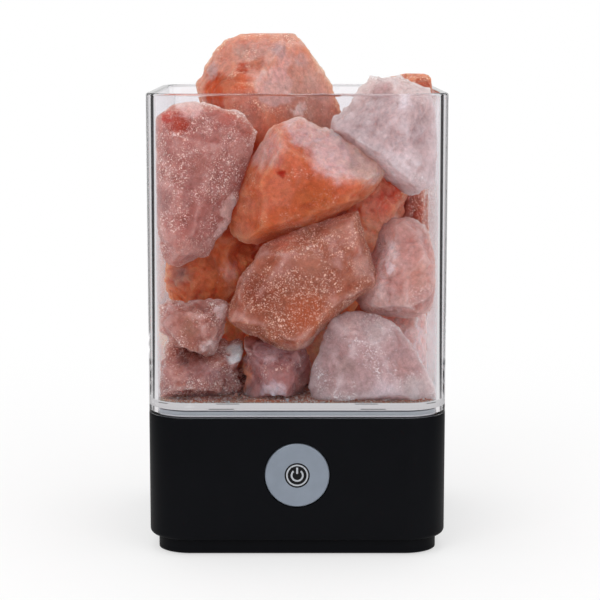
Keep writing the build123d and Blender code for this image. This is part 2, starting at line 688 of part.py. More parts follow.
# ---- Salt stones ----
# Each stone is a chunk with flat faces. Its outline is the shape seen from the front: points
# (x, height above the cup's floor) at the depth "belly". Every edge of the outline leans in
# towards the front and towards the back, and the facets cut the front at a yaw and a pitch,
# "bite" millimetres below the chunk's furthest point that way. Stones listed first keep their
# shape, and each later one is dressed back where it would run into those before it.
stone_shapes = {
    "stone_upper_centre": dict(
        outline=[(-21.5, 53), (-18, 50.3), (-8.5, 48.4), (1.5, 53.5), (14.5, 57.5), (21, 63.5),
                 (26.2, 70.5), (25.6, 75), (9, 85.5), (1, 88), (-7, 85.5), (-14, 75), (-21, 62)],
        belly=-32, front=-43, back=-10, seed=1.0, loose=False,
        facets=[(-8, -10, 1.0), (24, 42, 4.5), (-48, 0, 5.0)],
    ),
    "stone_upper_left": dict(
        outline=[(-45.5, 56), (-42, 43.4), (-37, 42.2), (-28, 47), (-20.5, 58.5), (-13.4, 79),
                 (-12.6, 84.5), (-18.5, 90), (-29.5, 93.6), (-38, 92.6), (-45.5, 87)],
        belly=-34, front=-43.5, back=-12, seed=2.0, loose=True,
        facets=[(0, 4, 0.8), (40, -12, 6.0), (-46, 8, 3.0), (12, 40, 5.0)],
    ),
    "stone_upper_right": dict(
        outline=[(12.3, 83.5), (20, 73.3), (29.5, 65.8), (34.5, 63.8), (43.5, 69.6), (46, 84),
                 (45.5, 90), (41.5, 97.5), (32.5, 101.5), (23.5, 101), (18, 95.5), (13, 88.5)],
        belly=-28, front=-41, back=-6, seed=3.0, loose=True,
        facets=[(6, 8, 1.0), (-32, 30, 5.0), (38, 10, 4.0)],
    ),
    "stone_peak": dict(
        outline=[(-32.8, 98), (-31.5, 92), (-24, 78), (-12, 68), (4, 68), (12, 80), (16, 89.5),
                 (13, 94.5), (7.5, 102.8), (-1.5, 114), (-7, 115.2), (-17.5, 114.6), (-24, 112),
                 (-29.5, 105)],
        belly=2, front=-19, back=25, seed=4.0, loose=True,
        facets=[(-14, 10, 1.0), (44, 14, 9.0), (-10, 50, 5.0)],
    ),
    "stone_middle_centre": dict(
        outline=[(-22, 26.5), (-18, 22.3), (-2.5, 16.3), (2, 17), (10.5, 24.3), (23.8, 37),
                 (23.6, 42.5), (19, 59.7), (15, 58.7), (1, 53.6), (-10, 48.8), (-17, 39.8)],
        belly=-36, front=-44.2, back=-12, seed=5.0, loose=False,
        facets=[(2, 6, 0.8), (-34, 20, 3.0), (34, -6, 3.5)],
    ),
    "stone_bottom_right": dict(
        outline=[(3, 5), (5.5, -1), (42.5, -1), (43.8, 3), (40.5, 9), (38, 15.8), (32.5, 22.2),
                 (20.5, 29.4), (15, 28.8), (9.3, 21.7), (7.5, 16)],
        belly=-38, front=-44.2, back=-10, seed=6.0, loose=False,
        facets=[(-3, 10, 0.6), (34, 16, 4.0), (-36, 12, 3.5), (4, 48, 5.0)],
    ),
    "stone_middle_right": dict(
        outline=[(19.3, 33), (21, 28.8), (32, 26.4), (42, 27.3), (45.8, 33), (45.6, 39), (40, 53.5),
                 (34.5, 56.2), (28, 53), (24, 43.5)],
        belly=-27, front=-42, back=-4, seed=7.0, loose=False,
        facets=[(34, 4, 4.0), (-30, 8, 3.5), (4, 30, 4.0)],
    ),
    "stone_lower_left": dict(
        outline=[(-44.2, 24), (-41.5, 20.5), (-29, 13), (-27, 14.3), (-22, 27), (-21.3, 30.6),
                 (-27.5, 31.2), (-40.5, 31.6), (-44.4, 30)],
        belly=-36, front=-44, back=-14, seed=8.0, loose=False,
        facets=[(4, -4, 0.8), (-30, 24, 2.5), (36, 4, 3.0)],
    ),
    "stone_bottom_left": dict(
        outline=[(-45.5, -1), (-23, -1), (-20, 4), (-17.7, 14.5), (-18.8, 18.4), (-28, 19.4),
                 (-42, 19.2), (-44.6, 6)],
        belly=-31, front=-43.4, back=-12, seed=9.0, loose=False,
        facets=[(-6, 4, 0.8), (8, 52, 5.5), (38, 6, 3.0)],
    ),
    "stone_bottom_centre": dict(
        outline=[(-17.8, -1), (1.5, -1), (2.2, 3), (3.6, 14.5), (2.4, 16.5), (-9.5, 20.8),
                 (-17, 20.6), (-17.9, 8)],
        belly=-31, front=-42.4, back=-12, seed=10.0, loose=False,
        facets=[(3, 2, 0.6), (-6, 50, 5.5), (-34, 4, 2.5)],
    ),
    "stone_right_wedge": dict(
        outline=[(16, 57), (18, 44), (24, 38), (31, 40), (37, 54), (38, 62), (34.5, 72), (26, 73.5),
                 (18, 66)],
        belly=-18, front=-28, back=6, seed=11.0, loose=False,
        facets=[(-22, 6, 1.5), (30, 18, 4.0)],
    ),
    "stone_right_shoulder": dict(
        outline=[(29, 50), (35, 43), (43, 45), (46, 58), (45.6, 68), (40, 69.5), (31, 66)],
        belly=-8, front=-21, back=14, seed=12.0, loose=False,
        facets=[(12, 8, 1.0), (-34, 10, 4.0)],
    ),
    "stone_top_right_rear": dict(
        outline=[(22, 84), (26, 68), (44, 67), (47, 78), (46.6, 96), (41, 101.4), (36, 101.6),
                 (30, 98)],
        belly=6, front=-9, back=26, seed=13.0, loose=False,
        facets=[(6, 12, 1.0), (-32, 30, 4.0)],
    ),
    "stone_middle_left": dict(
        outline=[(-45.5, 33), (-40, 27.5), (-22, 26.5), (-14, 33), (-10.5, 45), (-14, 54),
                 (-30, 56), (-44.5, 47)],
        belly=-16, front=-27, back=14, seed=14.0, loose=False,
        facets=[(-4, 16, 1.0), (30, 4, 4.0)],
    ),
    "stone_lower_right_rear": dict(
        outline=[(20, -1), (44, -1), (46, 10), (45, 22), (41.5, 25.6), (33, 26.4), (25, 23),
                 (18.5, 10)],
        belly=-10, front=-25, back=14, seed=15.0, loose=False,
        facets=[(8, 20, 1.5), (-30, 14, 4.0)],
    ),
    "stone_lower_gap_left": dict(
        outline=[(-45.5, -1), (-18, -1), (-15, 10), (-16.5, 19), (-20, 25), (-30, 28),
                 (-44, 26)],
        belly=-10, front=-25, back=14, seed=16.0, loose=False,
        facets=[(20, 12, 1.5), (-24, 20, 4.0)],
    ),
    "stone_lower_gap_right": dict(
        outline=[(-17, -1), (19, -1), (20, 9), (14, 20), (8, 22.5), (-8, 22), (-16, 14)],
        belly=-4, front=-24, back=16, seed=17.0, loose=False,
        facets=[(-8, 14, 1.5), (26, 20, 4.0)],
    ),
    "stone_core_middle": dict(
        outline=[(-13, 27), (-8, 20), (16, 20), (23, 29), (24, 44), (18, 54), (-6, 55), (-14, 42)],
        belly=0, front=-18, back=17, seed=18.0, loose=False,
        facets=[(8, 14, 1.5)],
    ),
    "stone_core_upper": dict(
        outline=[(-18, 60), (-10, 52), (15, 52), (24, 60), (22, 72), (8, 78), (-12, 76)],
        belly=0, front=-16, back=16, seed=19.0, loose=False,
        facets=[(-6, 20, 1.5)],
    ),
    "stone_core_left": dict(
        outline=[(-45.5, 60), (-38, 50), (-22, 52), (-15, 62), (-18, 76), (-28, 83), (-44.5, 80)],
        belly=0, front=-15, back=18, seed=20.0, loose=False,
        facets=[(-8, 24, 1.5)],
    ),
    "stone_rear_bottom_left": dict(
        outline=[(-45.5, -1), (-15, -1), (-12, 12), (-18, 26), (-30, 31), (-44.5, 27)],
        belly=28, front=10, back=45, seed=21.0, loose=False,
        facets=[(170, 12, 1.0), (140, 24, 4.0)],
    ),
    "stone_rear_bottom_centre": dict(
        outline=[(-15, -1), (15, -1), (19, 9), (13, 24), (-2, 28), (-15, 22), (-17, 10)],
        belly=29, front=11, back=45, seed=22.0, loose=False,
        facets=[(186, 8, 1.0), (214, 22, 4.0)],
    ),
    "stone_rear_bottom_right": dict(
        outline=[(16, -1), (44.5, -1), (46, 14), (44, 28), (32, 33), (20, 28), (14, 12)],
        belly=28, front=10, back=45, seed=23.0, loose=False,
        facets=[(176, 14, 1.0), (150, 8, 4.0)],
    ),
    "stone_rear_middle_left": dict(
        outline=[(-45.5, 34), (-32, 28), (-16, 28), (-8, 40), (-12, 56), (-28, 61), (-44.5, 55)],
        belly=28, front=12, back=45, seed=24.0, loose=False,
        facets=[(184, 10, 1.0), (222, 16, 5.0)],
    ),
    "stone_rear_middle_centre": dict(
        outline=[(-12, 30), (4, 25), (18, 30), (22, 44), (14, 60), (-6, 62), (-14, 46)],
        belly=29, front=12, back=45, seed=25.0, loose=False,
        facets=[(172, 6, 1.0), (140, 20, 4.0)],
    ),
    "stone_rear_middle_right": dict(
        outline=[(18, 36), (28, 30), (42, 30), (46, 42), (44.5, 60), (30, 64), (18, 56)],
        belly=27, front=10, back=45, seed=26.0, loose=False,
        facets=[(180, 12, 1.0), (206, 26, 4.0)],
    ),
    "stone_rear_top_left": dict(
        outline=[(-45.5, 62), (-34, 57), (-18, 58), (-12, 68), (-20, 80), (-36, 83), (-44.5, 78)],
        belly=29, front=12, back=45, seed=27.0, loose=False,
        facets=[(182, 16, 1.0), (150, 30, 4.0)],
    ),
    "stone_rear_top_centre": dict(
        outline=[(-16, 66), (-6, 60), (10, 60), (17, 70), (12, 86), (0, 93), (-13, 88)],
        belly=31, front=14, back=45, seed=28.0, loose=False,
        facets=[(176, 14, 1.0), (212, 24, 4.0)],
    ),
    "stone_rear_top_right": dict(
        outline=[(14, 66), (26, 60), (44, 60), (46, 74), (42, 86), (28, 90), (16, 82)],
        belly=30, front=12, back=45, seed=29.0, loose=False,
        facets=[(184, 12, 1.0), (148, 22, 4.0)],
    ),
}
front_lean = 20.0  # mean lean of an edge towards the front, degrees
back_lean = 26.0
lean_spread = 9.0  # how much the leans differ from edge to edge
block_margin = 1.0
probe_count = 500  # directions tried when two stones are set apart
ring_count = 90
corner_flats = 4  # tangent planes that stand for one rounded corner of the cup
least_cut = 0.01  # a plane that would take off less than this is left out

pile_spread = cup_inner_size / pile_width
wall_reach = cup_inner_size / 2 - wall_gap
corner_reach = cup_inner_corner - wall_gap
corner_center = cup_inner_size / 2 - cup_inner_corner

golden_turn = math.pi * (3 - math.sqrt(5))
probe_steps = np.arange(probe_count)
probe_z = 1 - (2 * probe_steps + 1) / probe_count
probe_flat = np.sqrt(1 - probe_z**2)
probe_turns = golden_turn * probe_steps
ball_probes = np.column_stack(
    (probe_flat * np.cos(probe_turns), probe_flat * np.sin(probe_turns), probe_z)
)
ring_turns = 2 * math.pi * np.arange(ring_count) / ring_count
ring_probes = np.column_stack((np.cos(ring_turns), np.sin(ring_turns), np.zeros(ring_count)))


def corner_array(part):
    """A part's corners as an array of x, y, z rows."""
    return np.array([tuple(vertex) for vertex in part.vertices()])


def carve(builder, point, outward):
    """Cut off what lies beyond a plane through the point, if anything does."""
    outward = np.array(outward, dtype=float)
    reach = corner_array(builder.part) @ outward
    if reach.max() > outward @ np.array(point) + least_cut:
        split(bisect_by=Plane(origin=tuple(point), z_dir=tuple(outward)), keep=Keep.BOTTOM)


def allowed_probes(loose, other_loose):
    """Directions from a finished stone to a new one that let the loose one be lifted out."""
    if loose and other_loose:
        return ring_probes
    if loose:
        return np.vstack((ball_probes[ball_probes[:, 2] >= 0], ring_probes))
    if other_loose:
        return np.vstack((ball_probes[ball_probes[:, 2] <= 0], ring_probes))
    return ball_probes


def parting_direction(corners, loose, other_corners, other_loose):
    """The allowed direction along which two stones overlap least, and that overlap."""
    probes = allowed_probes(loose, other_loose)
    overlap = (other_corners @ probes.T).max(axis=0) - (corners @ probes.T).min(axis=0)
    best = int(overlap.argmin())
    return probes[best], overlap[best]


finished = []
for name, shape in stone_shapes.items():
    outline = [
        (x * pile_spread, cup_floor_top + height * pile_spread) for x, height in shape["outline"]
    ]
    front = shape["front"] * pile_spread
    back = shape["back"] * pile_spread
    belly = shape["belly"] * pile_spread
    low = np.array([min(x for x, z in outline), front, min(z for x, z in outline)])
    high = np.array([max(x for x, z in outline), back, max(z for x, z in outline)])
    with BuildPart() as stone:
        with Locations(tuple((low + high) / 2)):
            Box(*(high - low + 2 * block_margin * np.array([1, 0, 1])))
        for index, (start, end) in enumerate(zip(outline, outline[1:] + outline[:1])):
            run = math.dist(start, end)
            side = ((end[1] - start[1]) / run, (start[0] - end[0]) / run)
            swing = lean_spread * math.sin(2.4 * index + shape["seed"])
            for lean, facing in ((front_lean + swing, -1), (back_lean - swing, 1)):
                flat = math.cos(math.radians(lean))
                tilt = facing * math.sin(math.radians(lean))
                carve(stone, (start[0], belly, start[1]), (side[0] * flat, tilt, side[1] * flat))
        for yaw, pitch, bite in shape["facets"]:
            turn, rise = math.radians(yaw), math.radians(pitch)
            outward = np.array([
                math.sin(turn) * math.cos(rise), -math.cos(turn) * math.cos(rise), math.sin(rise)
            ])
            furthest = max(corner_array(stone.part) @ outward)
            carve(stone, outward * (furthest - bite * pile_spread), outward)
        # the cup's floor, walls and rounded corners
        carve(stone, (0, 0, cup_floor_top), (0, 0, -1))
        for sx, sy in ((1, 0), (-1, 0), (0, 1), (0, -1)):
            carve(stone, (sx * wall_reach, sy * wall_reach, 0), (sx, sy, 0))
        for sx in (-1, 1):
            for sy in (-1, 1):
                for flat in range(corner_flats):
                    angle = math.pi / 2 * (flat + 0.5) / corner_flats
                    out_x = sx * math.cos(angle)
                    out_y = sy * math.sin(angle)
                    tangent = (
                        sx * corner_center + out_x * corner_reach,
                        sy * corner_center + out_y * corner_reach,
                        0,
                    )
                    carve(stone, tangent, (out_x, out_y, 0))
        for other_corners, other_loose in finished:
            direction, overlap = parting_direction(
                corner_array(stone.part), shape["loose"], other_corners, other_loose
            )
            if overlap > -stone_gap:
                limit = (other_corners @ direction).max() + stone_gap
                carve(stone, direction * limit, -direction)
    finished.append((corner_array(stone.part), shape["loose"]))
    save(stone, name)
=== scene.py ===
import json
import math

import bpy
import numpy as np
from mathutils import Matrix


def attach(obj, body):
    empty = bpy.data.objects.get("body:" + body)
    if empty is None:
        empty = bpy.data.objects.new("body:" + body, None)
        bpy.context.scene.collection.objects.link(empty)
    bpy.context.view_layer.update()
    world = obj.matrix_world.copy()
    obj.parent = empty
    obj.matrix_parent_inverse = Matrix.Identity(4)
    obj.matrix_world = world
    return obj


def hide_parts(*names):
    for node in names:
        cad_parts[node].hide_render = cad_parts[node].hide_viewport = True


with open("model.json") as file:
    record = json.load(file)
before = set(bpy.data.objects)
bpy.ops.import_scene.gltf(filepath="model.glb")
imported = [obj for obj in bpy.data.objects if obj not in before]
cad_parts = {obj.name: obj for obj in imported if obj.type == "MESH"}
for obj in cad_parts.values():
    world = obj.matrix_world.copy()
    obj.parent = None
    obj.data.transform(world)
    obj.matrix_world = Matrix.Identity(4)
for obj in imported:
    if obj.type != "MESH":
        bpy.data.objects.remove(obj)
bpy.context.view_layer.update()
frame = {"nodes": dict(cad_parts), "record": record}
mm = 0.001

# the photo's camera: in front of the lamp, a little above it, and pointed slightly down
cameraLook = {
    "place": (0.0, -0.62873, 0.16806),
    "pitchDown": 0.145977,  # radians
    "lens": 113.145,
    "sensor": 36.0,
    "shiftX": 0.00472,
}


def buildCamera(look):
    data = bpy.data.cameras.new("camera")
    data.lens = look["lens"]
    data.sensor_width = look["sensor"]
    data.shift_x = look["shiftX"]
    camera = bpy.data.objects.new("camera", data)
    camera.location = look["place"]
    camera.rotation_euler = (math.pi / 2 - look["pitchDown"], 0, 0)
    bpy.context.scene.collection.objects.link(camera)
    bpy.context.scene.camera = camera


buildCamera(cameraLook)
print("camera done")


def put(value, socket):
    # a plain value is set on the socket, a socket is linked to it
    if isinstance(value, bpy.types.NodeSocket):
        socket.id_data.links.new(value, socket)
    else:
        socket.default_value = value


def addNode(tree, kind, settings=None, **inputs):
    # inputs are named as the sockets are, with _ for a space; a name like i2 is the third input
    node = tree.nodes.new(kind)
    for name, value in (settings or {}).items():
        setattr(node, name, value)
    for name, value in inputs.items():
        if name[0] == "i" and name[1:].isdigit():
            put(value, node.inputs[int(name[1:])])
        else:
            put(value, node.inputs[name.replace("_", " ")])
    return node


def calc(tree, operation, *values, clamp=False):
    node = addNode(tree, "ShaderNodeMath", {"operation": operation, "use_clamp": clamp})
    for index, value in enumerate(values):
        put(value, node.inputs[index])
    return node.outputs[0]


def vectorCalc(tree, operation, *values):
    node = addNode(tree, "ShaderNodeVectorMath", {"operation": operation})
    for index, value in enumerate(values):
        put(value, node.inputs[index])
    return node.outputs["Value" if operation in ("LENGTH", "DOT_PRODUCT") else "Vector"]


def blendColour(tree, factor, first, second, how="MIX"):
    # sockets 6 and 7 of the node and its output 2 are those for colours
    node = addNode(tree, "ShaderNodeMix", {"data_type": "RGBA", "blend_type": how})
    put(factor, node.inputs[0])
    put(first, node.inputs[6])
    put(second, node.inputs[7])
    return node.outputs[2]


def spread(tree, value, low, high, newLow=0.0, newHigh=1.0, smooth=False):
    # a value between low and high becomes one between newLow and newHigh, and is held between them
    kind = "SMOOTHSTEP" if smooth else "LINEAR"
    node = addNode(tree, "ShaderNodeMapRange", {"interpolation_type": kind, "clamp": True})
    for index, item in enumerate((value, low, high, newLow, newHigh)):
        put(item, node.inputs[index])
    return node.outputs[0]


def objectPlace(tree):
    return addNode(tree, "ShaderNodeTexCoord").outputs["Object"]


def linear(*bytesRgb):
    # a colour as it shows on a screen, 0 to 255, as a light value, by the usual screen curve
    shares = [value / 255 for value in bytesRgb]
    light = [s / 12.92 if s <= 0.04045 else ((s + 0.055) / 1.055) ** 2.4 for s in shares]
    return (*light, 1.0)


def newGroup(name, inputs, outputs):
    # an empty node group: inputs are (name, kind, first value), outputs are (name, kind)
    group = bpy.data.node_groups.new(name, "ShaderNodeTree")
    for socketName, kind, default in inputs:
        socket = group.interface.new_socket(socketName, in_out="INPUT", socket_type=kind)
        if default is not None:
            socket.default_value = default
    for socketName, kind in outputs:
        group.interface.new_socket(socketName, in_out="OUTPUT", socket_type=kind)
    source = group.nodes.new("NodeGroupInput")
    result = group.nodes.new("NodeGroupOutput")
    return group, source, result


def useGroup(tree, group, **inputs):
    node = tree.nodes.new("ShaderNodeGroup")
    node.node_tree = group
    for name, value in inputs.items():
        put(value, node.inputs[name])
    return node


floatKind = "NodeSocketFloat"
vectorKind = "NodeSocketVector"
noiseRange = (0.3, 0.7)  # where most of a noise's values lie


def makeGrainGroup():
    # fine moulded grain: two sizes of noise added, with a slow change of tone over the piece
    group, source, result = newGroup(
        "fineGrain",
        [("Place", vectorKind, None), ("Scale", floatKind, 2200.0), ("Tone", floatKind, 0.1)],
        [("Height", floatKind), ("Shade", floatKind)],
    )
    place, scale = source.outputs["Place"], source.outputs["Scale"]
    fine = addNode(group, "ShaderNodeTexNoise", Vector=place, Scale=scale, Detail=3.0)
    wide = addNode(group, "ShaderNodeTexNoise", Vector=place, Detail=3.0,
                   Scale=calc(group, "MULTIPLY", scale, 0.04))  # 25 times as wide
    put(fine.outputs[0], result.inputs["Height"])
    lift = calc(group, "SUBTRACT", wide.outputs[0], 0.5)
    lift = calc(group, "MULTIPLY", lift, source.outputs["Tone"])
    put(calc(group, "ADD", lift, 1.0), result.inputs["Shade"])
    return group


def makePatchGroup():
    # a ragged patch: 1 inside a ball of the given radius, falling to 0 over the soft share of it
    group, source, result = newGroup(
        "saltPatch",
        [("Place", vectorKind, None), ("Centre", vectorKind, None), ("Radius", floatKind, 0.005),
         ("Soft", floatKind, 0.4)],
        [("Mask", floatKind)],
    )
    out = source.outputs
    gap = vectorCalc(group, "SUBTRACT", out["Place"], out["Centre"])
    gap = vectorCalc(group, "MULTIPLY", gap, (1.0, 0.5, 1.0))  # patches run on into the stone
    distance = calc(group, "DIVIDE", vectorCalc(group, "LENGTH", gap), out["Radius"])
    mask = spread(group, distance, 1.0, calc(group, "SUBTRACT", 1.0, out["Soft"]), smooth=True)
    put(mask, result.inputs["Mask"])
    return group


sparkleShape = {
    "clusterScale": 110.0,  # of the noise that says where grains are
    "clusterStart": 0.70,  # where in that noise they begin when the amount is 0
    "clusterGain": 0.42,  # how far a full amount brings that down
    "clusterSoft": 0.16,
    "bendScale": 850.0,  # of the noise that bends the cells out of shape
    "bendReach": 1.3 * mm,
    "layers": ((1.0, 0.42), (1.6, 0.54), (2.5, 0.66)),  # how fine, and the largest grain in a cell
    "rim": 0.6,  # the share of a grain that is fully bright
    "dimmest": 0.2,
    "dimPower": 1.3,  # many dim grains, few bright ones
}


def makeSparkleGroup(look):
    # grains of sugar-like salt, lightened as painted glints: small cells, of which only the middle
    # shows, where the clusters are
    group, source, result = newGroup(
        "saltSparkle",
        [("Place", vectorKind, None), ("Cell", floatKind, 700.0), ("Amount", floatKind, 0.5)],
        [("Speck", floatKind), ("Height", floatKind)],
    )
    out = source.outputs
    cluster = addNode(group, "ShaderNodeTexNoise", Vector=out["Place"], Detail=4.0, Roughness=0.65,
                      Scale=look["clusterScale"])
    lower = calc(group, "MULTIPLY", out["Amount"], look["clusterGain"])
    low = calc(group, "SUBTRACT", look["clusterStart"], lower)
    high = calc(group, "ADD", low, look["clusterSoft"])
    here = spread(group, cluster.outputs[0], low, high, smooth=True)
    bend = addNode(group, "ShaderNodeTexNoise", Vector=out["Place"], Detail=1.0,
                   Scale=look["bendScale"])
    bend = vectorCalc(group, "SUBTRACT", bend.outputs["Color"], (0.5, 0.5, 0.5))
    bend = vectorCalc(group, "MULTIPLY", bend, (look["bendReach"],) * 3)
    bent = vectorCalc(group, "ADD", out["Place"], bend)
    total, height = None, None
    for share, reach in look["layers"]:
        cells = addNode(group, "ShaderNodeTexVoronoi", Vector=bent,
                        Scale=calc(group, "MULTIPLY", out["Cell"], share))
        pick = addNode(group, "ShaderNodeSeparateColor")
        put(cells.outputs["Color"], pick.inputs[0])
        size = calc(group, "MULTIPLY", pick.outputs[0], reach)  # each grain has its own size
        full = calc(group, "MULTIPLY", size, look["rim"])
        grain = spread(group, cells.outputs["Distance"], size, full)
        tone = calc(group, "POWER", pick.outputs[1], look["dimPower"])
        bright = calc(group, "MULTIPLY", grain, calc(group, "ADD", look["dimmest"], tone))
        total = bright if total is None else calc(group, "MAXIMUM", total, bright)
        height = grain if height is None else calc(group, "ADD", height, grain)
    put(calc(group, "MULTIPLY", total, here, clamp=True), result.inputs["Speck"])
    put(calc(group, "MULTIPLY", height, here), result.inputs["Height"])
    return group


def makeFacetGroup():
    # small breaks in the salt: each cell is a flat of its own tilt, its height the distance from the
    # cell's middle times the tilt, in metres
    group, source, result = newGroup(
        "saltFacets",
        [("Place", vectorKind, None), ("Scale", floatKind, 300.0), ("Tilt", floatKind, 0.5)],
        [("Height", floatKind)],
    )
    out = source.outputs
    cells = addNode(group, "ShaderNodeTexVoronoi", Vector=out["Place"], Scale=out["Scale"])
    tilt = vectorCalc(group, "SUBTRACT", cells.outputs["Color"], (0.5, 0.5, 0.5))
    away = vectorCalc(group, "SUBTRACT", out["Place"], cells.outputs["Position"])
    slope = vectorCalc(group, "DOT_PRODUCT", tilt, away)
    put(calc(group, "MULTIPLY", slope, out["Tilt"]), result.inputs["Height"])
    return group


grainGroup = makeGrainGroup()
patchGroup = makePatchGroup()
sparkleGroup = makeSparkleGroup(sparkleShape)
facetGroup = makeFacetGroup()
print("shared effects done")

# scale is how fine the grain is, bump how deep, tone how much it shades the colour
finishLooks = {
    "black_plastic": dict(colour=linear(11, 12, 16), rough=0.36, specular=0.11, scale=2600, bump=0.12),
    "white_plastic": dict(colour=linear(225, 225, 220), rough=0.45, scale=2200, bump=0.1),
    "circuit_board": dict(colour=linear(24, 78, 52), rough=0.35, scale=900, bump=0.05, tone=0.5),
    "led_yellow": dict(colour=linear(235, 205, 95), rough=0.25, scale=3000, bump=0.05),
    "screw_steel": dict(colour=linear(190, 192, 196), rough=0.3, metallic=1.0, scale=3500, bump=0.1),
    "screw_black": dict(colour=linear(40, 41, 44), rough=0.4, metallic=0.9, scale=3500, bump=0.1),
    "component_black": dict(colour=linear(30, 30, 32), rough=0.5, scale=3000, bump=0.15),
    "connector_white": dict(colour=linear(228, 224, 210), rough=0.4, scale=2400, bump=0.08),
    "wire_red": dict(colour=linear(176, 30, 26), rough=0.45, scale=1800, bump=0.06),
    "wire_black": dict(colour=linear(26, 26, 28), rough=0.45, scale=1800, bump=0.06),
    "wire_white": dict(colour=linear(222, 222, 216), rough=0.45, scale=1800, bump=0.06),
    "socket_steel": dict(colour=linear(186, 188, 192), rough=0.28, metallic=1.0, scale=3500, bump=0.08),
    "button_metal": dict(colour=linear(158, 168, 182), rough=0.42, metallic=0.55, scale=5200, bump=0.1),
    "icon_black": dict(colour=linear(16, 17, 19), rough=0.3, scale=3200, bump=0.05, specular=0.3),
    "icon_silver": dict(colour=linear(196, 200, 206), rough=0.4, metallic=0.4, scale=4200, bump=0.05),
    "switch_black": dict(colour=linear(28, 28, 30), rough=0.4, scale=3000, bump=0.1),
    "switch_white": dict(colour=linear(226, 226, 222), rough=0.4, scale=3000, bump=0.08),
    "foot_rubber": dict(colour=linear(38, 38, 39), rough=0.8, scale=1500, bump=0.3),
    "milky_plastic": dict(colour=linear(172, 181, 186), rough=0.5, scale=1600, bump=0.1),
}


def newMaterial(name):
    material = bpy.data.materials.new(name)
    material.use_nodes = True
    tree = material.node_tree
    shader = tree.nodes["Principled BSDF"]
    return material, tree, shader


def makeFinish(name, look):
    # one moulded, rolled or printed finish: grain in its colour, its roughness and its surface
    material, tree, shader = newMaterial(name)
    grain = useGroup(tree, grainGroup, Place=objectPlace(tree), Scale=float(look["scale"]),
                     Tone=look.get("tone", 0.25))
    put(blendColour(tree, 1.0, look["colour"], grain.outputs["Shade"], "MULTIPLY"),
        shader.inputs["Base Color"])
    low, high = look["rough"] - 0.05, look["rough"] + 0.07  # the tops of the grain are duller
    put(spread(tree, grain.outputs["Height"], *noiseRange, low, high), shader.inputs["Roughness"])
    bump = addNode(tree, "ShaderNodeBump", Strength=look["bump"], Distance=0.1 * mm,
                   Height=grain.outputs["Height"])
    put(bump.outputs[0], shader.inputs["Normal"])
    shader.inputs["Metallic"].default_value = look.get("metallic", 0.0)
    shader.inputs["Specular IOR Level"].default_value = look.get("specular", 0.5)
    return material


clearLook = {
    "colour": (0.968, 0.948, 0.972, 1.0),
    "passing": (0.95, 0.94, 0.955, 1.0),  # what each surface leaves of the light that goes straight on
    "index": 1.49,  # how much acrylic bends sight
    "scale": 700.0,
    "tone": 0.02,
}


def makeClear(name, look):
    # clear acrylic: lamps and soft light pass straight through it, and sight is bent
    material, tree, shader = newMaterial(name)
    grain = useGroup(tree, grainGroup, Place=objectPlace(tree), Scale=look["scale"], Tone=look["tone"])
    put(blendColour(tree, 1.0, look["colour"], grain.outputs["Shade"], "MULTIPLY"),
        shader.inputs["Base Color"])
    shader.inputs["Roughness"].default_value = 0.0
    shader.inputs["IOR"].default_value = look["index"]
    shader.inputs["Transmission Weight"].default_value = 1.0
    path = addNode(tree, "ShaderNodeLightPath")
    through = calc(tree, "MAXIMUM", path.outputs["Is Shadow Ray"], path.outputs["Is Diffuse Ray"])
    plain = addNode(tree, "ShaderNodeBsdfTransparent", Color=look["passing"])
    mixed = addNode(tree, "ShaderNodeMixShader", i0=through, i1=shader.outputs[0], i2=plain.outputs[0])
    put(mixed.outputs[0], tree.nodes["Material Output"].inputs["Surface"])
    return material


finishes = {name: makeFinish(name + "_look", look) for name, look in finishLooks.items()}

# painted shade and highlight on the light plate's rim: a dark line under its upper edge, painted for
# the black housing that shows in it, and a painted highlight over its lower edge: the heights in mm
# where a line starts and where it is full, and its colour
plateShadeAndHighlightLines = [
    (46.6, 46.68, linear(52, 56, 64)),
    (45.45, 45.4, linear(226, 230, 232)),
]


def paintShadeAndHighlightLines(material, look):
    # painted shade and highlight lines over a finish, each from the height where it starts to the one
    # where it is full
    tree = material.node_tree
    shader = tree.nodes["Principled BSDF"]
    colour = shader.inputs["Base Color"].links[0].from_socket
    height = addNode(tree, "ShaderNodeSeparateXYZ", Vector=objectPlace(tree)).outputs[2]
    for start, end, tint in look:
        colour = blendColour(tree, spread(tree, height, start * mm, end * mm), colour, tint)
    put(colour, shader.inputs["Base Color"])


paintShadeAndHighlightLines(finishes["milky_plastic"], plateShadeAndHighlightLines)
finishes["clear_acrylic"] = makeClear("clear_acrylic_look", clearLook)

slotOfNode = {part["node"]: part["material_slot"] for part in frame["record"]["subparts"]}


def dressNodes():
    # every node that stays gets the finish of its slot in the record
    for nodeName, node in frame["nodes"].items():
        if nodeName.startswith("stone_"):
            continue
        node.material_slots[0].material = finishes[slotOfNode[nodeName]]


print("finishes done")

# Of a salt's looks, base and second are mixed by noise, edge is the colour of its paler edges, partly
# wear and partly painted light that thin edges let through, and speck that of the grains, whitish and
# lightened as painted glints. Sparkle is how much the grains cover, and bare how clear of them the
# patches stay. Gloss is the shine, depth how far red, green and blue light goes into the salt, and tint
# the colour of the light that passes through. A patch is (x, y, z of its centre in mm, its radius in
# mm, its colour, how soft its border is); some are painted shade or painted light, as said where they
# stand.
pinkSalt = dict(
    base=linear(186, 128, 118), second=linear(172, 106, 90), edge=linear(214, 172, 164),
    speck=linear(246, 222, 212), sparkle=0.6, depth=(1.0, 0.6, 0.5), tint=(1.0, 0.62, 0.5, 1.0),
    patches=[])
orangeSalt = dict(
    base=linear(196, 112, 80), second=linear(170, 84, 52), edge=linear(210, 140, 112),
    speck=linear(246, 214, 194), sparkle=0.45, depth=(1.0, 0.42, 0.28), tint=(1.0, 0.5, 0.3, 1.0),
    patches=[])
paleSalt = dict(
    base=linear(200, 180, 180), second=linear(192, 168, 166), edge=linear(222, 202, 202),
    speck=linear(248, 238, 236), sparkle=0.45, depth=(1.0, 0.8, 0.75), tint=(1.0, 0.85, 0.8, 1.0),
    patches=[])
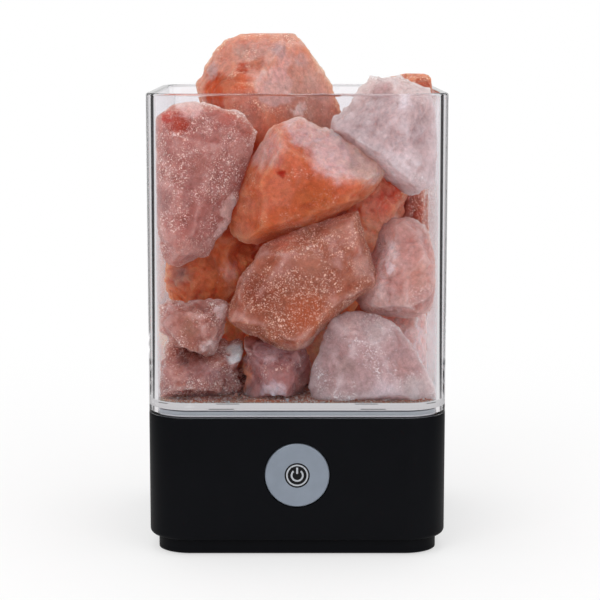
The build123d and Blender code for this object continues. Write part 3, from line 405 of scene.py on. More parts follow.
# lighter than the stones' own orange: painted light, for the deep gaps and hidden stones where shade
# falls
paintedLightSalt = dict(
    base=linear(254, 174, 130), second=linear(252, 152, 106), edge=linear(250, 180, 146),
    speck=linear(246, 190, 160), sparkle=0.2, gloss=0.05, depth=(1.0, 0.3, 0.15),
    tint=(1.0, 0.45, 0.22, 1.0), patches=[])
redSalt = linear(170, 54, 32)
deepOrange = linear(188, 98, 56)
frostWhite = linear(220, 182, 178)
frostPink = linear(206, 156, 146)

# Of a stone's shape, crumble is how deep the outline is notched, grow how far in mm it may stand
# out over its CAD stone, and ceiling the height in mm that it stays under.
stoneLooks = {
    "stone_upper_centre": dict(
        orangeSalt, base=linear(206, 122, 92), second=linear(194, 100, 62), crumble=0.5,
        patches=[
            (14, -36, 130, 13.5, frostWhite, 0.35),
            (3, -32, 136, 9, linear(206, 172, 168), 0.3),
            (22.5, -37, 124, 7.5, linear(206, 176, 168), 0.4),
            (-10, -36, 130, 9, frostPink, 0.5),
            (6, -42, 114, 9, deepOrange, 0.7),
            (-9, -42, 103, 8, linear(192, 98, 56), 0.8),
            (-4.6, -42, 121.5, 2.4, redSalt, 0.6),
        ]),
    "stone_upper_left": dict(
        pinkSalt, base=linear(180, 126, 118), second=linear(164, 102, 94), crumble=0.6,
        sparkle=0.75,
        patches=[
            (-36.5, -40, 137.5, 4.6, linear(164, 64, 46), 0.5),
            (-40.5, -40, 139, 2.4, linear(172, 56, 40), 0.5),
            (-34, -34, 143.5, 6.5, frostWhite, 0.5),
            (-22, -38, 139, 5, linear(178, 108, 98), 0.8),
            (-20.5, -40, 110, 4.5, linear(214, 174, 166), 0.25),
            (-21.5, -40, 103, 4.5, linear(212, 172, 164), 0.25),
            (-35, -42, 97, 8, linear(180, 132, 124), 0.8),
            (-30, -43, 124.5, 6, linear(174, 114, 104), 0.8),
            (-16.5, -38, 136, 5, linear(160, 100, 90), 0.8),
            (-17.7, -39, 128.5, 5, linear(200, 148, 138), 0.8),
            (-41, -40, 113, 6, linear(160, 112, 106), 0.8),
        ]),
    "stone_upper_right": dict(
        paleSalt, sparkle=0.4, crumble=0.8, grow=2.6,
        patches=[
            (30, -38, 124, 13, linear(226, 208, 208), 0.9),
            (33, -38, 143, 3, linear(226, 212, 216), 0.6),
            (27, -34, 147, 5.5, linear(178, 150, 150), 0.8),
        ]),
    "stone_peak": dict(
        orangeSalt, base=linear(200, 150, 138), second=linear(196, 134, 118), crumble=0.45,
        depth=(1.0, 0.55, 0.42), sparkle=0.5,
        patches=[
            (-13, -14, 160, 8, linear(190, 142, 134), 0.8),
            (7, -1, 149.5, 7, linear(206, 164, 154), 0.9),
            (-26.5, -12, 146.5, 7, linear(180, 72, 36), 0.5),
            (-18, -14, 148, 5.5, linear(192, 98, 66), 0.6),
            (-17.5, -14, 153, 3, linear(172, 76, 54), 0.6),
            (-25, -12, 142, 5, linear(184, 84, 58), 0.6),
            (-8, -14, 135, 9, linear(200, 112, 84), 0.9),
            (-14, -14, 129, 7, linear(196, 98, 56), 0.7),
            (-7.5, -16, 147.5, 7.4, linear(208, 166, 160), 0.25),
            (-5.5, -16, 152, 3.6, linear(208, 162, 158), 0.3),
            (-4.2, -9.5, 155.5, 3.8, linear(208, 162, 154), 0.5),
            (-1, -16, 145, 3.2, frostWhite, 0.4),
            (1, -14, 140.5, 3.8, linear(230, 200, 196), 0.4),
            (-22.4, -16, 148, 4.6, linear(174, 92, 66), 0.6),
            (-27.4, -4.5, 152.7, 3.5, linear(180, 142, 138), 0.6),
            (-12.8, -12.3, 155.3, 3.2, linear(180, 112, 92), 0.7),
            (-5.6, -8.4, 159.6, 4, linear(178, 144, 144), 0.7),
            (1, -3.5, 156, 3.6, linear(196, 158, 152), 0.7),
            (9.3, 0, 144.3, 4.5, linear(212, 168, 158), 0.7),
            (-19, -6, 159, 4.5, linear(178, 136, 126), 0.8),
        ]),
    "stone_middle_centre": dict(
        pinkSalt, base=linear(168, 102, 80), second=linear(158, 90, 66),
        speck=linear(246, 208, 188), sparkle=0.75, crumble=0.5, bare=0.45,
        patches=[
            (3, -43, 78, 10.5, linear(180, 98, 66), 0.8),
            (-13, -42, 85, 7, linear(142, 74, 54), 0.8),
            # painted shade on the stone's underside, over the stone below it
            (-8, -36, 67.5, 3.5, linear(120, 56, 42), 0.6),
            (20.5, -41.5, 92, 5.5, linear(196, 146, 132), 0.7),
            (-13, -38.5, 93.5, 4, linear(186, 116, 92), 0.8),
            (-3.8, -38, 100, 6, linear(198, 118, 94), 0.8),
            (14, -42, 104, 5, linear(174, 118, 100), 0.8),
            (4, -44, 94, 6, linear(184, 122, 100), 0.8),
        ]),
    "stone_bottom_right": dict(
        paleSalt, base=linear(190, 160, 158), second=linear(182, 150, 148), sparkle=0.55,
        crumble=0.6,
        patches=[
            (28, -43, 52, 7.5, linear(222, 200, 202), 0.8),
            (33, -42, 60, 5, linear(190, 156, 152), 0.8),
            (17, -40, 74, 6, linear(208, 176, 172), 0.8),
            (15, -43.5, 61, 5, linear(170, 142, 138), 0.8),
            (24.6, -40, 71.4, 6, linear(200, 182, 180), 0.8),
            (37.3, -42, 54, 6, linear(200, 182, 180), 0.8),
        ]),
    "stone_middle_right": dict(
        pinkSalt, base=linear(202, 164, 158), second=linear(196, 150, 142), sparkle=0.4,
        crumble=0.7, grow=3.2,
        patches=[
            (38.4, -40, 89, 6, linear(198, 151, 139), 0.7),
            # painted light: a lighter patch on the left side, which its neighbours shade
            (24.5, -36, 86, 6, linear(226, 192, 186), 0.7),
            (28.4, -41, 93, 3, linear(222, 196, 196), 0.4),
            (29.6, -41, 82, 4, linear(198, 160, 154), 0.5),
            (29, -38, 97, 4.5, linear(232, 210, 208), 0.7),
            (40.5, -36, 82, 6, linear(178, 134, 128), 0.8),
        ]),
    "stone_lower_left": dict(
        pinkSalt, base=linear(164, 116, 110), second=linear(154, 102, 90),
        patches=[
            (-33.7, -43, 73, 5, linear(154, 108, 90), 0.8),
            (-28, -43, 66.5, 4, linear(222, 186, 180), 0.5),
            (-23.5, -43, 78, 3.4, frostWhite, 0.4),
        ]),
    "stone_bottom_left": dict(
        pinkSalt, base=linear(150, 104, 100), second=linear(150, 92, 80), sparkle=0.75, crumble=1.2,
        grow=3.4,
        patches=[
            (-19.6, -35, 64, 4.4, linear(248, 236, 232), 0.5),
            # painted shade: a dark band on the top, where the stones above shade it
            (-33, -38, 66.5, 9, linear(100, 36, 20), 0.7),
            (-26, -42, 57.5, 5, linear(170, 130, 128), 0.8),
        ]),
    "stone_bottom_centre": dict(
        pinkSalt, base=linear(164, 120, 120), second=linear(158, 108, 106),
        edge=linear(160, 118, 112), sparkle=0.5,
        patches=[
            (-7.4, -41, 52.5, 5, linear(214, 186, 190), 0.6),
            # painted light: a lighter patch on the shaded left side, by the gap
            (-19.5, -30, 56, 7, linear(226, 130, 100), 0.5),
            # painted shadow: a dark band on the sloping top, where the stone above shades it
            (-14, -29, 70.5, 5.5, linear(112, 50, 40), 0.4),
            (-7, -29, 70.5, 5.5, linear(112, 50, 40), 0.4),
            (0, -29, 70, 5.5, linear(112, 50, 40), 0.4),
            (-9, -37, 62.5, 3.5, linear(196, 164, 164), 0.8),
            (1.5, -38, 53, 4, linear(188, 130, 124), 0.7),
        ]),
    "stone_right_wedge": dict(
        orangeSalt, base=linear(234, 160, 132), second=linear(212, 124, 100), gloss=0.05,
        patches=[
            (28, -27, 112, 6, linear(214, 116, 96), 0.5),
            # painted light: lighter patches where the wedge lies in shade
            (30.5, -26, 104, 5, linear(236, 182, 166), 0.8),
            (23.5, -29, 110, 4.5, linear(226, 146, 124), 0.7),
        ]),
    "stone_right_shoulder": dict(pinkSalt, base=linear(210, 160, 152), sparkle=0.85, grow=4.5),
    "stone_top_right_rear": dict(
        orangeSalt, base=linear(196, 128, 104), second=linear(176, 100, 74), sparkle=0.8, grow=4.0,
        ceiling=151.6,
        patches=[
            (33.5, -7, 148, 5.5, frostPink, 0.5),
            (42, -7, 147, 6, linear(150, 72, 54), 0.6),
        ]),
    "stone_middle_left": dict(
        orangeSalt, base=linear(200, 114, 78), second=linear(196, 98, 58), sparkle=0.25, gloss=0.05,
        crumble=1.2,
        patches=[
            (-21.5, -26.5, 89, 4, linear(210, 142, 128), 0.7),
            # painted light: a lighter patch where the stone lies in shade
            (-16.5, -25, 91.5, 4.5, linear(252, 150, 100), 0.8),
            (-38, -24, 88, 7, linear(168, 128, 116), 0.8),
        ]),
    # painted light: colours lifted far above the pink salt's, for the shade behind the bottom right
    # stone
    "stone_lower_right_rear": dict(
        pinkSalt, base=linear(238, 208, 208), second=linear(232, 188, 184), sparkle=0.5, gloss=0.05),
    # painted light: the deep gap and core stones take the lighter salt in their shade
    "stone_lower_gap_left": paintedLightSalt,
    "stone_core_left": dict(
        paintedLightSalt, base=linear(234, 150, 114), second=linear(220, 124, 86), crumble=0.6),
    "stone_core_middle": dict(paintedLightSalt, crumble=0.6),
    "stone_lower_gap_right": dict(
        paintedLightSalt, base=linear(252, 212, 196), second=linear(250, 190, 166)),
}

# the record's slot gives the salt of every stone that the table above leaves out
slotSalts = {
    "salt_pink": dict(pinkSalt, gloss=0.05),
    "salt_orange": dict(
        orangeSalt, base=linear(214, 134, 100), second=linear(198, 106, 68), gloss=0.05),
    "salt_pale": paleSalt,
}

saltShape = {
    "warpScale": 210.0,  # of the noise that makes patches, breaks and worn edges ragged
    "warpReach": 7 * mm,
    "mixScale": 75.0,  # of the noise that mixes the two salts
    "mixRange": (0.38, 0.62),
    "fineScale": 560.0,  # of the grain in the colour, the roughness and the surface
    "fineShade": (0.66, 1.3),
    "fineDepth": 0.6 * mm,
    # where the paler edges show: partly wear, partly painted light that thin edges let through
    "wornAndLitRange": (0.4, 0.62),
    "wornAndLitShare": (0.05, 0.6),
    "cell": 900.0,  # how fine the sparkling grains are
    "grainDepth": 0.12 * mm,
    "breakScale": 240.0,
    "breakTilt": 0.28,
    "bump": 0.8,
    "rough": (0.3, 0.55),
    "index": 1.54,
    "gloss": 0.12,  # and bare, where a salt gives none of its own
    "bare": 0.75,
    "scatter": 24 * mm,  # how far light goes in, times the salt's depth
    "through": 0.4,  # the share of the light that passes on, tinted
}


def makeSalt(name, look, shape=saltShape):
    # two salts mixed by noise, ragged patches, paler edges that are partly wear and partly painted
    # light, and grains that sparkle in clusters, lightened as painted glints
    material, tree, shader = newMaterial(name)
    place = objectPlace(tree)
    warp = addNode(tree, "ShaderNodeTexNoise", Vector=place, Detail=4.0, Roughness=0.65,
                   Scale=shape["warpScale"])
    shift = vectorCalc(tree, "SUBTRACT", warp.outputs["Color"], (0.5, 0.5, 0.5))
    shift = vectorCalc(tree, "MULTIPLY", shift, (shape["warpReach"],) * 3)
    ragged = vectorCalc(tree, "ADD", place, shift)
    wide = addNode(tree, "ShaderNodeTexNoise", Vector=place, Detail=5.0, Roughness=0.6,
                   Distortion=0.6, Scale=shape["mixScale"])
    colour = blendColour(tree, spread(tree, wide.outputs[0], *shape["mixRange"], smooth=True),
                         look["base"], look["second"])
    covered = 0.0
    for x, y, z, radius, tint, soft in look["patches"]:
        patch = useGroup(tree, patchGroup, Place=ragged, Centre=(x * mm, y * mm, z * mm),
                         Radius=radius * mm, Soft=soft)
        colour = blendColour(tree, patch.outputs[0], colour, tint)
        covered = calc(tree, "MAXIMUM", covered, patch.outputs[0])
    grains = calc(tree, "MULTIPLY", covered, look.get("bare", shape["bare"]))
    grains = calc(tree, "SUBTRACT", 1.0, grains)  # how far grains and the paler edges show
    fine = addNode(tree, "ShaderNodeTexNoise", Vector=place, Detail=7.0, Roughness=0.8,
                   Scale=shape["fineScale"])
    shade = spread(tree, fine.outputs[0], *noiseRange, *shape["fineShade"])
    colour = blendColour(tree, 1.0, colour, shade, "MULTIPLY")
    edge = addNode(tree, "ShaderNodeAttribute", {"attribute_name": "edge"}).outputs["Fac"]
    # paler edges: partly wear, partly painted light that the thin salt lets through
    worn = spread(tree, warp.outputs[0], *shape["wornAndLitRange"], *shape["wornAndLitShare"])
    worn = calc(tree, "MULTIPLY", edge, worn)
    worn = calc(tree, "MULTIPLY", worn, grains)
    colour = blendColour(tree, worn, colour, look["edge"])
    sparkle = useGroup(tree, sparkleGroup, Place=place, Cell=shape["cell"], Amount=look["sparkle"])
    # the grains' colour: whitish salt, lightened as painted glints off the crystals
    speck = calc(tree, "MULTIPLY", sparkle.outputs["Speck"], grains)
    colour = blendColour(tree, speck, colour, look["speck"])
    put(colour, shader.inputs["Base Color"])
    put(spread(tree, fine.outputs[0], *noiseRange, *shape["rough"]), shader.inputs["Roughness"])
    breaks = useGroup(tree, facetGroup, Place=ragged, Scale=shape["breakScale"],
                      Tilt=shape["breakTilt"])
    fineHeight = calc(tree, "MULTIPLY", fine.outputs[0], shape["fineDepth"])
    grainHeight = calc(tree, "MULTIPLY", sparkle.outputs["Height"], shape["grainDepth"])
    height = calc(tree, "ADD", breaks.outputs[0], fineHeight)
    height = calc(tree, "ADD", height, grainHeight)
    bump = addNode(tree, "ShaderNodeBump", Strength=shape["bump"], Distance=1.0, Height=height)
    put(bump.outputs[0], shader.inputs["Normal"])
    shader.inputs["IOR"].default_value = shape["index"]
    shader.inputs["Specular IOR Level"].default_value = look.get("gloss", shape["gloss"])
    shader.inputs["Subsurface Weight"].default_value = 1.0
    shader.inputs["Subsurface Radius"].default_value = look["depth"]
    shader.inputs["Subsurface Scale"].default_value = shape["scatter"]
    path = addNode(tree, "ShaderNodeLightPath")
    through = calc(tree, "MAXIMUM", path.outputs["Is Shadow Ray"], path.outputs["Is Diffuse Ray"])
    through = calc(tree, "MULTIPLY", through, shape["through"])
    plain = addNode(tree, "ShaderNodeBsdfTransparent", Color=look["tint"])
    mixed = addNode(tree, "ShaderNodeMixShader", i0=through, i1=shader.outputs[0], i2=plain.outputs[0])
    put(mixed.outputs[0], tree.nodes["Material Output"].inputs["Surface"])
    return material


latticeSize = 32
noiseTable = np.random.default_rng(71).random((latticeSize,) * 3)
# the lattice is turned, so that its planes don't lie along the lamp's sides
turn = np.array([[0.36, 0.48, -0.8], [-0.8, 0.6, 0.0], [0.48, 0.64, 0.6]])


def valueNoise(points, size, shift):
    # smooth noise from 0 to 1: values on a lattice of that size, blended by 3t^2 - 2t^3 between them
    p = points @ turn.T / size + shift
    cell = np.floor(p).astype(int)
    t = p - cell
    t = t * t * (3 - 2 * t)
    total = np.zeros(len(points))
    for corner in np.ndindex(2, 2, 2):
        weight = np.prod(np.where(corner, t, 1 - t), axis=1)
        at = (cell + corner) % latticeSize
        total += weight * noiseTable[at[:, 0], at[:, 1], at[:, 2]]
    return total


def gridQuads(at):
    # the squares of a grid whose points are numbered as at says, each by its four corners in turn
    return np.stack([at[:-1, :-1], at[1:, :-1], at[1:, 1:], at[:-1, 1:]], -1).reshape(-1, 4)


def ballGrid(count):
    # unit directions: each face of a cube carries a grid of equal angles, pushed out to a ball,
    # and the points that faces share are made one
    line = np.tan(np.linspace(-math.pi / 4, math.pi / 4, count + 1))
    u, v = np.meshgrid(line, line, indexing="ij")
    one = np.ones_like(u)
    sides = []
    for axis in range(3):
        for sign in (1, -1):
            parts = [None] * 3
            parts[axis] = one * sign
            parts[(axis + 1) % 3] = u * sign
            parts[(axis + 2) % 3] = v
            sides.append(np.stack(parts, -1).reshape(-1, 3))
    points = np.concatenate(sides)
    points /= np.linalg.norm(points, axis=1)[:, None]
    number = (count + 1) ** 2
    quad = gridQuads(np.arange(number).reshape(count + 1, count + 1))
    quads = np.concatenate([quad + k * number for k in range(6)])
    places = np.round(points * 1e6).astype(int)
    first, back = np.unique(places, axis=0, return_index=True, return_inverse=True)[1:]
    return points[first], back.reshape(-1)[quads]


def meshPiece(name, points, quads, smooth=True):
    # a mesh object at the origin, with its place in its points
    mesh = bpy.data.meshes.new(name)
    mesh.from_pydata(points.tolist(), [], quads.tolist())
    mesh.polygons.foreach_set("use_smooth", np.full(len(quads), smooth))
    mesh.update()
    piece = bpy.data.objects.new(name, mesh)
    bpy.context.scene.collection.objects.link(piece)
    return piece


def flatsOf(node):
    # the planes of a CAD stone: the outward normal of each flat and its distance from the middle.
    # Triangles whose rounded normals and distances are the same lie on one flat
    mesh = node.data
    points = np.zeros(len(mesh.vertices) * 3)
    mesh.vertices.foreach_get("co", points)
    points = points.reshape(-1, 3)
    corners = np.zeros(len(mesh.loops), int)
    mesh.loops.foreach_get("vertex_index", corners)
    triangles = points[corners.reshape(-1, 3)]
    normals = np.cross(triangles[:, 1] - triangles[:, 0], triangles[:, 2] - triangles[:, 0])
    size = np.linalg.norm(normals, axis=1)
    keep = size > 1e-9
    normals = normals[keep] / size[keep][:, None]
    middle = (points.max(0) + points.min(0)) / 2
    distance = np.einsum("ij,ij->i", normals, triangles[keep][:, 0] - middle)
    marks = np.round(np.column_stack([normals * 300, distance * 2e4])).astype(int)
    rows = np.unique(marks, axis=0, return_index=True)[1]
    return middle, normals[rows], distance[rows]


rockShape = {
    "frontCount": 66,  # squares along a side of the ball's grid
    "hiddenCount": 48,
    "edgeRound": 0.45 * mm,  # how far the edges are rounded off
    "frontGrow": 2.0,  # how far, in mm, a stone may stand out over its CAD stone
    "hiddenGrow": 2.0,
    "frontCrumble": 1.0,  # how deep its outline is notched
    "hiddenCrumble": 0.6,
    "spare": 0.9 * mm,  # how much further out its flats begin, before they are worn back
    "waveFields": 6,  # different waves, which the flats take in turn
    "waveSize": 9 * mm,
    "waveDepth": 1.2 * mm,
    "waveSteps": 5,
    "chipSize": 3.2 * mm,
    "chipDepth": 0.6 * mm,
    "edgeReach": 2.6 * mm,  # how far from an edge the deeper ledges go
    "ledges": ((6 * mm, 2.2 * mm), (2.4 * mm, 1.3 * mm)),  # size and depth of steps in the outline
    "ledgeSteps": 3,
    "flatShare": 0.15,  # how much of them the flats have
    "grainSize": 1.4 * mm,
    "grainDepth": 0.25 * mm,
    "ceiling": 200,  # in mm: higher than any stone reaches
    "ceilingSoft": 1.6 * mm,
}

cupRoom = {
    "half": 44.6 * mm,  # inside the cup's walls
    "corner": 10.7 * mm,
    "floor": 49.5 * mm,
    "top": 164.65 * mm,
    "soft": 0.2 * mm,
}


def holdBelow(value, limit, soft):
    # a value that comes near its limit and doesn't pass it:
    # limit - soft * log(1 + e^((limit - value) / soft))
    return limit - soft * np.logaddexp(0, (limit - value) / soft)


def holdInCup(points):
    # points held inside the cup: past the straight part of a wall, the distance from there is held
    # below the corner's radius, and the height is held between the floor and the top
    look = cupRoom
    flat = np.abs(points[:, :2])
    over = np.maximum(flat - (look["half"] - look["corner"]), 0)
    distance = np.maximum(np.linalg.norm(over, axis=1), 1e-9)
    share = holdBelow(distance, look["corner"], look["soft"]) / distance
    flat = flat - over + over * np.clip(share, 0, 1)[:, None]
    height = holdBelow(points[:, 2], look["top"], look["soft"])
    height = -holdBelow(-height, -look["floor"], look["soft"])
    return np.column_stack([np.sign(points[:, :2]) * flat, height])


def inSteps(value, number):
    # a value from 0 to 1 as a stair of that number of steps: a quarter of each step's width climbs
    value = value * number
    return (np.floor(value) + np.clip((value % 1) * 4 - 1.5, 0, 1)) / number


def buildStone(name, seed, count, grow, crumble, ceiling, look=rockShape):
    # a broken stone: from its middle each direction reaches the nearest of its flats. Every flat is
    # first worn back by waves of its own, in steps, so that edges wander, and a power mean rounds
    # them. Then ledges are cut into it, deepest near its edges, and a fine grain goes over it all
    middle, normals, distance = flatsOf(frame["nodes"][name])
    ways, quads = ballGrid(count)
    facing = np.maximum(ways @ normals.T, 1e-3)
    plain = (distance / facing).min(1)
    rough = middle + ways * plain[:, None]
    power = plain.mean() / look["edgeReach"]
    near = ((distance / facing / plain[:, None]) ** -power).sum(1) - 1  # 1 on an edge, 0 on a flat
    near = np.clip(near, 0, 1)
    waves = []
    for k in range(look["waveFields"]):
        wave = valueNoise(rough, look["waveSize"], seed + 7.3 * k)
        stair = inSteps(wave, look["waveSteps"])
        chip = valueNoise(rough, look["chipSize"], seed + 3.1 * k + 11) * look["chipDepth"]
        waves.append((0.5 * wave + 0.5 * stair) * look["waveDepth"] + chip)
    worn = np.stack(waves, 1)[:, np.arange(len(distance)) % look["waveFields"]]
    reach = (distance + grow + look["spare"] - worn) / facing
    nearest = reach.min(1)
    power = plain.mean() / look["edgeRound"]
    mean = nearest * ((reach / nearest[:, None]) ** -power).sum(1) ** (-1 / power)
    grain = valueNoise(rough, look["grainSize"], seed + 29)
    limit = plain + grow
    share = look["flatShare"] + (1 - look["flatShare"]) * near
    for size, depth in look["ledges"]:
        ledge = np.clip(valueNoise(rough, size, seed + 41) * 2 - 0.5, 0, 1)
        limit = limit - inSteps(ledge, look["ledgeSteps"]) * depth * crumble * share
    radius = np.minimum(mean, limit) - grain * look["grainDepth"]
    points = holdInCup(middle + ways * radius[:, None])
    points[:, 2] = holdBelow(points[:, 2], ceiling, look["ceilingSoft"])
    piece = meshPiece("salt_" + name[6:], points, quads)
    edge = np.clip((nearest / mean - 1) / (2 ** (1 / power) - 1), 0, 1)  # 1 where two flats meet
    attribute = piece.data.attributes.new("edge", "FLOAT", "POINT")
    attribute.data.foreach_set("value", edge)
    return piece


def buildStones():
    # each CAD stone's stand-in, on the stone's own body and in its slot
    bodies = frame["record"]["behaviour"]["bodies"]
    stoneNames = sorted(n for n in frame["nodes"] if n.startswith("stone_"))
    for index, name in enumerate(stoneNames):
        body = next(b for b, members in bodies.items() if name in members)
        slot = slotOfNode[name]
        salt = stoneLooks.get(name, slotSalts[slot])
        kind = "hidden" if name.startswith(("stone_core", "stone_rear")) else "front"
        grow = salt.get("grow", rockShape[kind + "Grow"]) * mm
        ceiling = salt.get("ceiling", rockShape["ceiling"]) * mm
        crumble = salt.get("crumble", rockShape[kind + "Crumble"])
        piece = buildStone(name, 1.7 * index, rockShape[kind + "Count"], grow, crumble, ceiling)
        piece.data.materials.append(makeSalt(piece.name, salt))
        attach(piece, body)
        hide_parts(name)


buildStones()
print("stones done")

crumbSalt = dict(
    pinkSalt, base=linear(206, 118, 96), second=linear(240, 206, 198), sparkle=0.3, gloss=0.1)
dustSalt = dict(
    pinkSalt, base=linear(190, 84, 58), second=linear(170, 66, 46), sparkle=1.0, gloss=0.05)

# lengths in metres
crumbShape = {
    "number": 2400,
    "half": 0.0436,  # of the square that the crumbs cover
    "cornerCut": 1.86,  # where x and y together pass this times half, both are drawn in
    "floor": 0.0495,
    "size": (0.0003, 0.0009),
    "frontNumber": 260,  # finer crumbs, close behind the front wall
    "frontSize": (0.00018, 0.0004),
    "frontDepth": 0.0035,
    "squash": (0.6, 1.0),
    "dent": (0.75, 1.0),
    "seed": 5,
}


def buildCrumbs(look):
    # small broken bits on the cup's floor: one coarse ball, squashed and dented for each bit
    ways, quads = ballGrid(2)
    draw = np.random.default_rng(look["seed"])
    number, front = look["number"], look["frontNumber"]
    size = [draw.uniform(*look["size"], number), draw.uniform(*look["frontSize"], front)]
    size = np.concatenate(size)
    total = len(size)
    bits = ways[None] * size[:, None, None] * draw.uniform(*look["squash"], (total, 1, 3))
    bits = bits * draw.uniform(*look["dent"], (total, len(ways), 1))
    half = look["half"]
    x = draw.uniform(-half, half, total)
    y = draw.uniform(-half, half, total)
    y[number:] = -half + look["frontDepth"] * draw.random(front) ** 2
    corner = np.maximum(np.abs(x) + np.abs(y) - look["cornerCut"] * half, 0)
    x, y = x - np.sign(x) * corner, y - np.sign(y) * corner
    place = np.stack([x, y, look["floor"] - bits[:, :, 2].min(1)], 1)
    points = (bits + place[:, None]).reshape(-1, 3)
    faces = (quads[None] + (np.arange(total) * len(ways))[:, None, None]).reshape(-1, 4)
    piece = meshPiece("salt_crumbs", points, faces, smooth=False)
    piece.data.materials.append(makeSalt("salt_crumbs", crumbSalt))
    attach(piece, "root")


dustShape = {
    "count": 120,
    "half": 44.3 * mm,
    "corner": 10.4 * mm,
    "floor": 49.52 * mm,
    "border": 0.8 * mm,  # over which it comes down to nothing
    "depth": (0.15 * mm, 1.1 * mm),
    "moundSize": 5 * mm,
    "grainSize": 0.9 * mm,
    "grainDepth": 0.35 * mm,
}


def buildDust(look):
    # salt dust on the cup's floor: a square grid pulled into the floor's round corners, its height two
    # noises, down to nothing along its border, where it joins the flat grid under it
    count = look["count"]
    line = np.linspace(-1, 1, count + 1) * look["half"]
    u, v = np.meshgrid(line, line, indexing="ij")
    flat = np.stack([u, v], -1).reshape(-1, 2)
    over = np.maximum(np.abs(flat) - (look["half"] - look["corner"]), 0)
    squeeze = over.max(1) / np.maximum(np.linalg.norm(over, axis=1), 1e-9)
    flat = np.sign(flat) * (np.abs(flat) - over + over * np.where(squeeze > 0, squeeze, 1)[:, None])
    place = np.column_stack([flat, np.zeros(len(flat))])
    low, high = look["depth"]
    mound = valueNoise(place, look["moundSize"], 3.3) ** 2
    grain = valueNoise(place, look["grainSize"], 8.1)
    inward = look["half"] - np.maximum(np.abs(u), np.abs(v)).reshape(-1)
    edge = np.clip(inward / look["border"], 0, 1)
    height = (low + (high - low) * mound + look["grainDepth"] * grain) * edge
    bottom = place + np.array([0, 0, look["floor"]])
    top = bottom + np.outer(height, (0, 0, 1))
    over = np.arange((count + 1) ** 2).reshape(count + 1, count + 1)
    under = over.copy()
    under[1:-1, 1:-1] += (count + 1) ** 2
    faces = np.concatenate([gridQuads(over), gridQuads(under)[:, ::-1]])
    kept, back = np.unique(faces, return_inverse=True)
    points = np.concatenate([top, bottom])[kept]
    piece = meshPiece("salt_dust", points, back.reshape(-1, 4))
    piece.data.materials.append(makeSalt("salt_dust", dustSalt))
    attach(piece, "root")


buildDust(dustShape)
buildCrumbs(crumbShape)
dressNodes()
print("crumbs and parts done")

studioLook = {
    "floorSize": 6.0,
    "floorLines": 13,  # along a side of its grid
    "floorColour": (0.93, 0.93, 0.93, 1.0),
    "ambient": 0.8,
    "floorFade": (0.08, 0.4),  # distances over which the floor turns into the white
    "floorLift": 0.55,  # how white it is already near the part
    "farWall": (0.79, 0.84),  # cosine of the angle to the far wall, at its dark and its bright side
    "ceiling": (0.45, 0.9),  # the same for the ceiling
    "strip": (0.61, 0.57),  # and for the far wall again, where the dark strip ends
    "frontDark": (-0.75, -0.45),  # and where the dark front of the room begins
    "roomLight": (0.03, 0.85),  # of the dark room and of its bright far wall and ceiling
    "innerLight": 0.8,  # of the sides, for light mirrored inside a clear wall
    "deepLight": 0.6,  # for light mirrored twice or more
    "deepFrom": (1.4, 1.6),
    "throughLight": 0.74,  # the backdrop close behind, as it shows through the clear cup
    "throughFade": (0.5, 2.8),
    "lamps": [  # place, the point it faces, width, watts
        ((-0.5, -0.9, 0.75), (0, 0, 0.1), 0.7, 3.4),
        ((0.7, -0.9, 0.45), (0, 0, 0.1), 0.7, 2.6),
        ((0.0, 0.3, 1.1), (0, 0, 0.1), 0.8, 2.2),
    ],
}


def makeRoomGroup(look):
    # how bright the studio looks in a mirror: a bright far wall and ceiling in a dark room. Light
    # that a clear wall has mirrored inside itself finds light sides too, and a dark strip beside
    # the far wall
    group, source, result = newGroup(
        "mirroredRoom",
        [("Way", vectorKind, None), ("Away", floatKind, 3.0), ("Mirrored", floatKind, 0.0),
         ("Passed", floatKind, 0.0)],
        [("Light", floatKind)],
    )
    out = source.outputs
    way = vectorCalc(group, "NORMALIZE", out["Way"])
    way = addNode(group, "ShaderNodeSeparateXYZ", Vector=way).outputs
    wall = spread(group, way[1], *look["farWall"], smooth=True)
    ceiling = spread(group, way[2], *look["ceiling"], smooth=True)
    room = spread(group, calc(group, "MAXIMUM", wall, ceiling), 0.0, 1.0, *look["roomLight"])
    side = calc(group, "MULTIPLY", spread(group, way[1], *look["strip"]),
                spread(group, way[1], *look["frontDark"]))
    once = calc(group, "MAXIMUM", room, calc(group, "MULTIPLY", side, look["innerLight"]))
    inner = spread(group, out["Mirrored"], *look["deepFrom"], once, look["deepLight"])
    inside = spread(group, out["Passed"], 0.0, 1.0)
    light = spread(group, inside, 0.0, 1.0, room, inner)
    backdrop = spread(group, out["Away"], *look["throughFade"], look["throughLight"], 1.0)
    straight = spread(group, inside, 0.0, 1.0, 1.0, backdrop)
    mirrored = spread(group, out["Mirrored"], 0.0, 1.0)
    put(spread(group, mirrored, 0.0, 1.0, straight, light), result.inputs["Light"])
    return group


def roomLight(tree, group, way, away, path):
    # the room's light as a material or the world sees it
    return useGroup(tree, group, Way=way, Away=away, Mirrored=path["Glossy Depth"],
                    Passed=path["Transmission Depth"]).outputs[0]


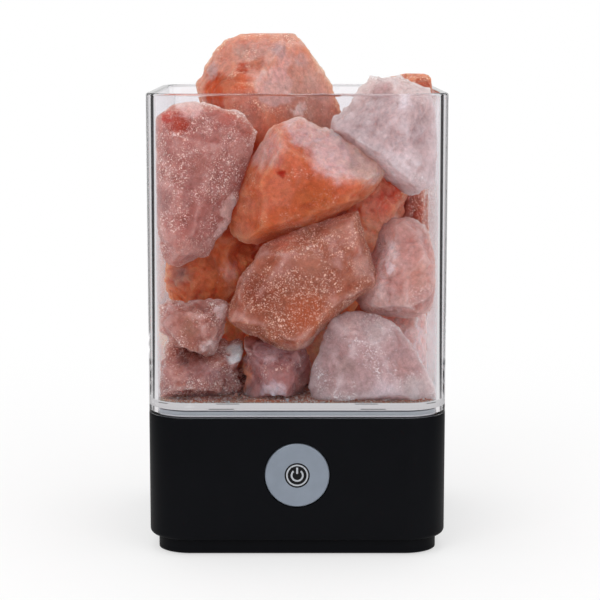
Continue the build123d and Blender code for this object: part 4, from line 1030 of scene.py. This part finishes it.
def buildFloor(look, room):
    # a flat grid, pale, that turns into the white behind it far from the part
    half = look["floorSize"] / 2
    number = look["floorLines"]
    line = np.linspace(-half, half, number)
    u, v = np.meshgrid(line, line, indexing="ij")
    points = np.stack([u, v, np.zeros_like(u)], -1).reshape(-1, 3)
    floor = meshPiece("floor", points, gridQuads(np.arange(number ** 2).reshape(number, number)))
    material, tree, shader = newMaterial("pale_floor")
    shader.inputs["Base Color"].default_value = look["floorColour"]
    shader.inputs["Roughness"].default_value = 0.9
    shader.inputs["Specular IOR Level"].default_value = 0.0
    path = addNode(tree, "ShaderNodeLightPath").outputs
    place = objectPlace(tree)
    away = vectorCalc(tree, "LENGTH", place)
    far = spread(tree, away, *look["floorFade"], look["floorLift"], 1.0, smooth=True)
    seen = calc(tree, "MAXIMUM", path["Is Camera Ray"],
                calc(tree, "MAXIMUM", path["Is Glossy Ray"], path["Is Transmission Ray"]))
    white = addNode(tree, "ShaderNodeEmission", Color=(1, 1, 1, 1),
                    Strength=roomLight(tree, room, place, away, path))
    mixed = addNode(tree, "ShaderNodeMixShader", i0=calc(tree, "MULTIPLY", far, seen),
                    i1=shader.outputs[0], i2=white.outputs[0])
    put(mixed.outputs[0], tree.nodes["Material Output"].inputs["Surface"])
    floor.data.materials.append(material)


def buildWorld(look, room):
    # white for the camera and through clear walls, the room in mirrors, soft even light for the rest
    world = bpy.data.worlds.new("studio")
    bpy.context.scene.world = world
    world.use_nodes = True
    tree = world.node_tree
    background = tree.nodes["Background"]
    background.inputs["Color"].default_value = (1, 1, 1, 1)
    path = addNode(tree, "ShaderNodeLightPath").outputs
    way = addNode(tree, "ShaderNodeTexCoord").outputs["Generated"]
    soft = spread(tree, path["Diffuse Depth"], 0.0, 1.0)
    light = roomLight(tree, room, way, 3.0, path)
    put(spread(tree, soft, 0.0, 1.0, light, look["ambient"]), background.inputs["Strength"])
    world.cycles.sampling_method = "NONE"


def buildLamps(look):
    # square soft lamps, each turned to face its point
    for index, (place, target, width, watts) in enumerate(look["lamps"]):
        data = bpy.data.lights.new(f"softbox_{index}", "AREA")
        data.size = width
        data.energy = watts
        lamp = bpy.data.objects.new(f"softbox_{index}", data)
        lamp.location = place
        away = np.array(place) - np.array(target)
        lamp.rotation_euler = (math.atan2(math.hypot(away[0], away[1]), away[2]), 0,
                               math.atan2(away[0], -away[1]))
        bpy.context.scene.collection.objects.link(lamp)


roomGroup = makeRoomGroup(studioLook)
buildFloor(studioLook, roomGroup)
buildWorld(studioLook, roomGroup)
buildLamps(studioLook)
scene = bpy.context.scene
scene.view_settings.view_transform = "Standard"
scene.cycles.max_bounces = 56  # the cup's walls and floor guide light through many reflections
scene.cycles.glossy_bounces = 48
scene.cycles.transmission_bounces = 24
print("studio done")
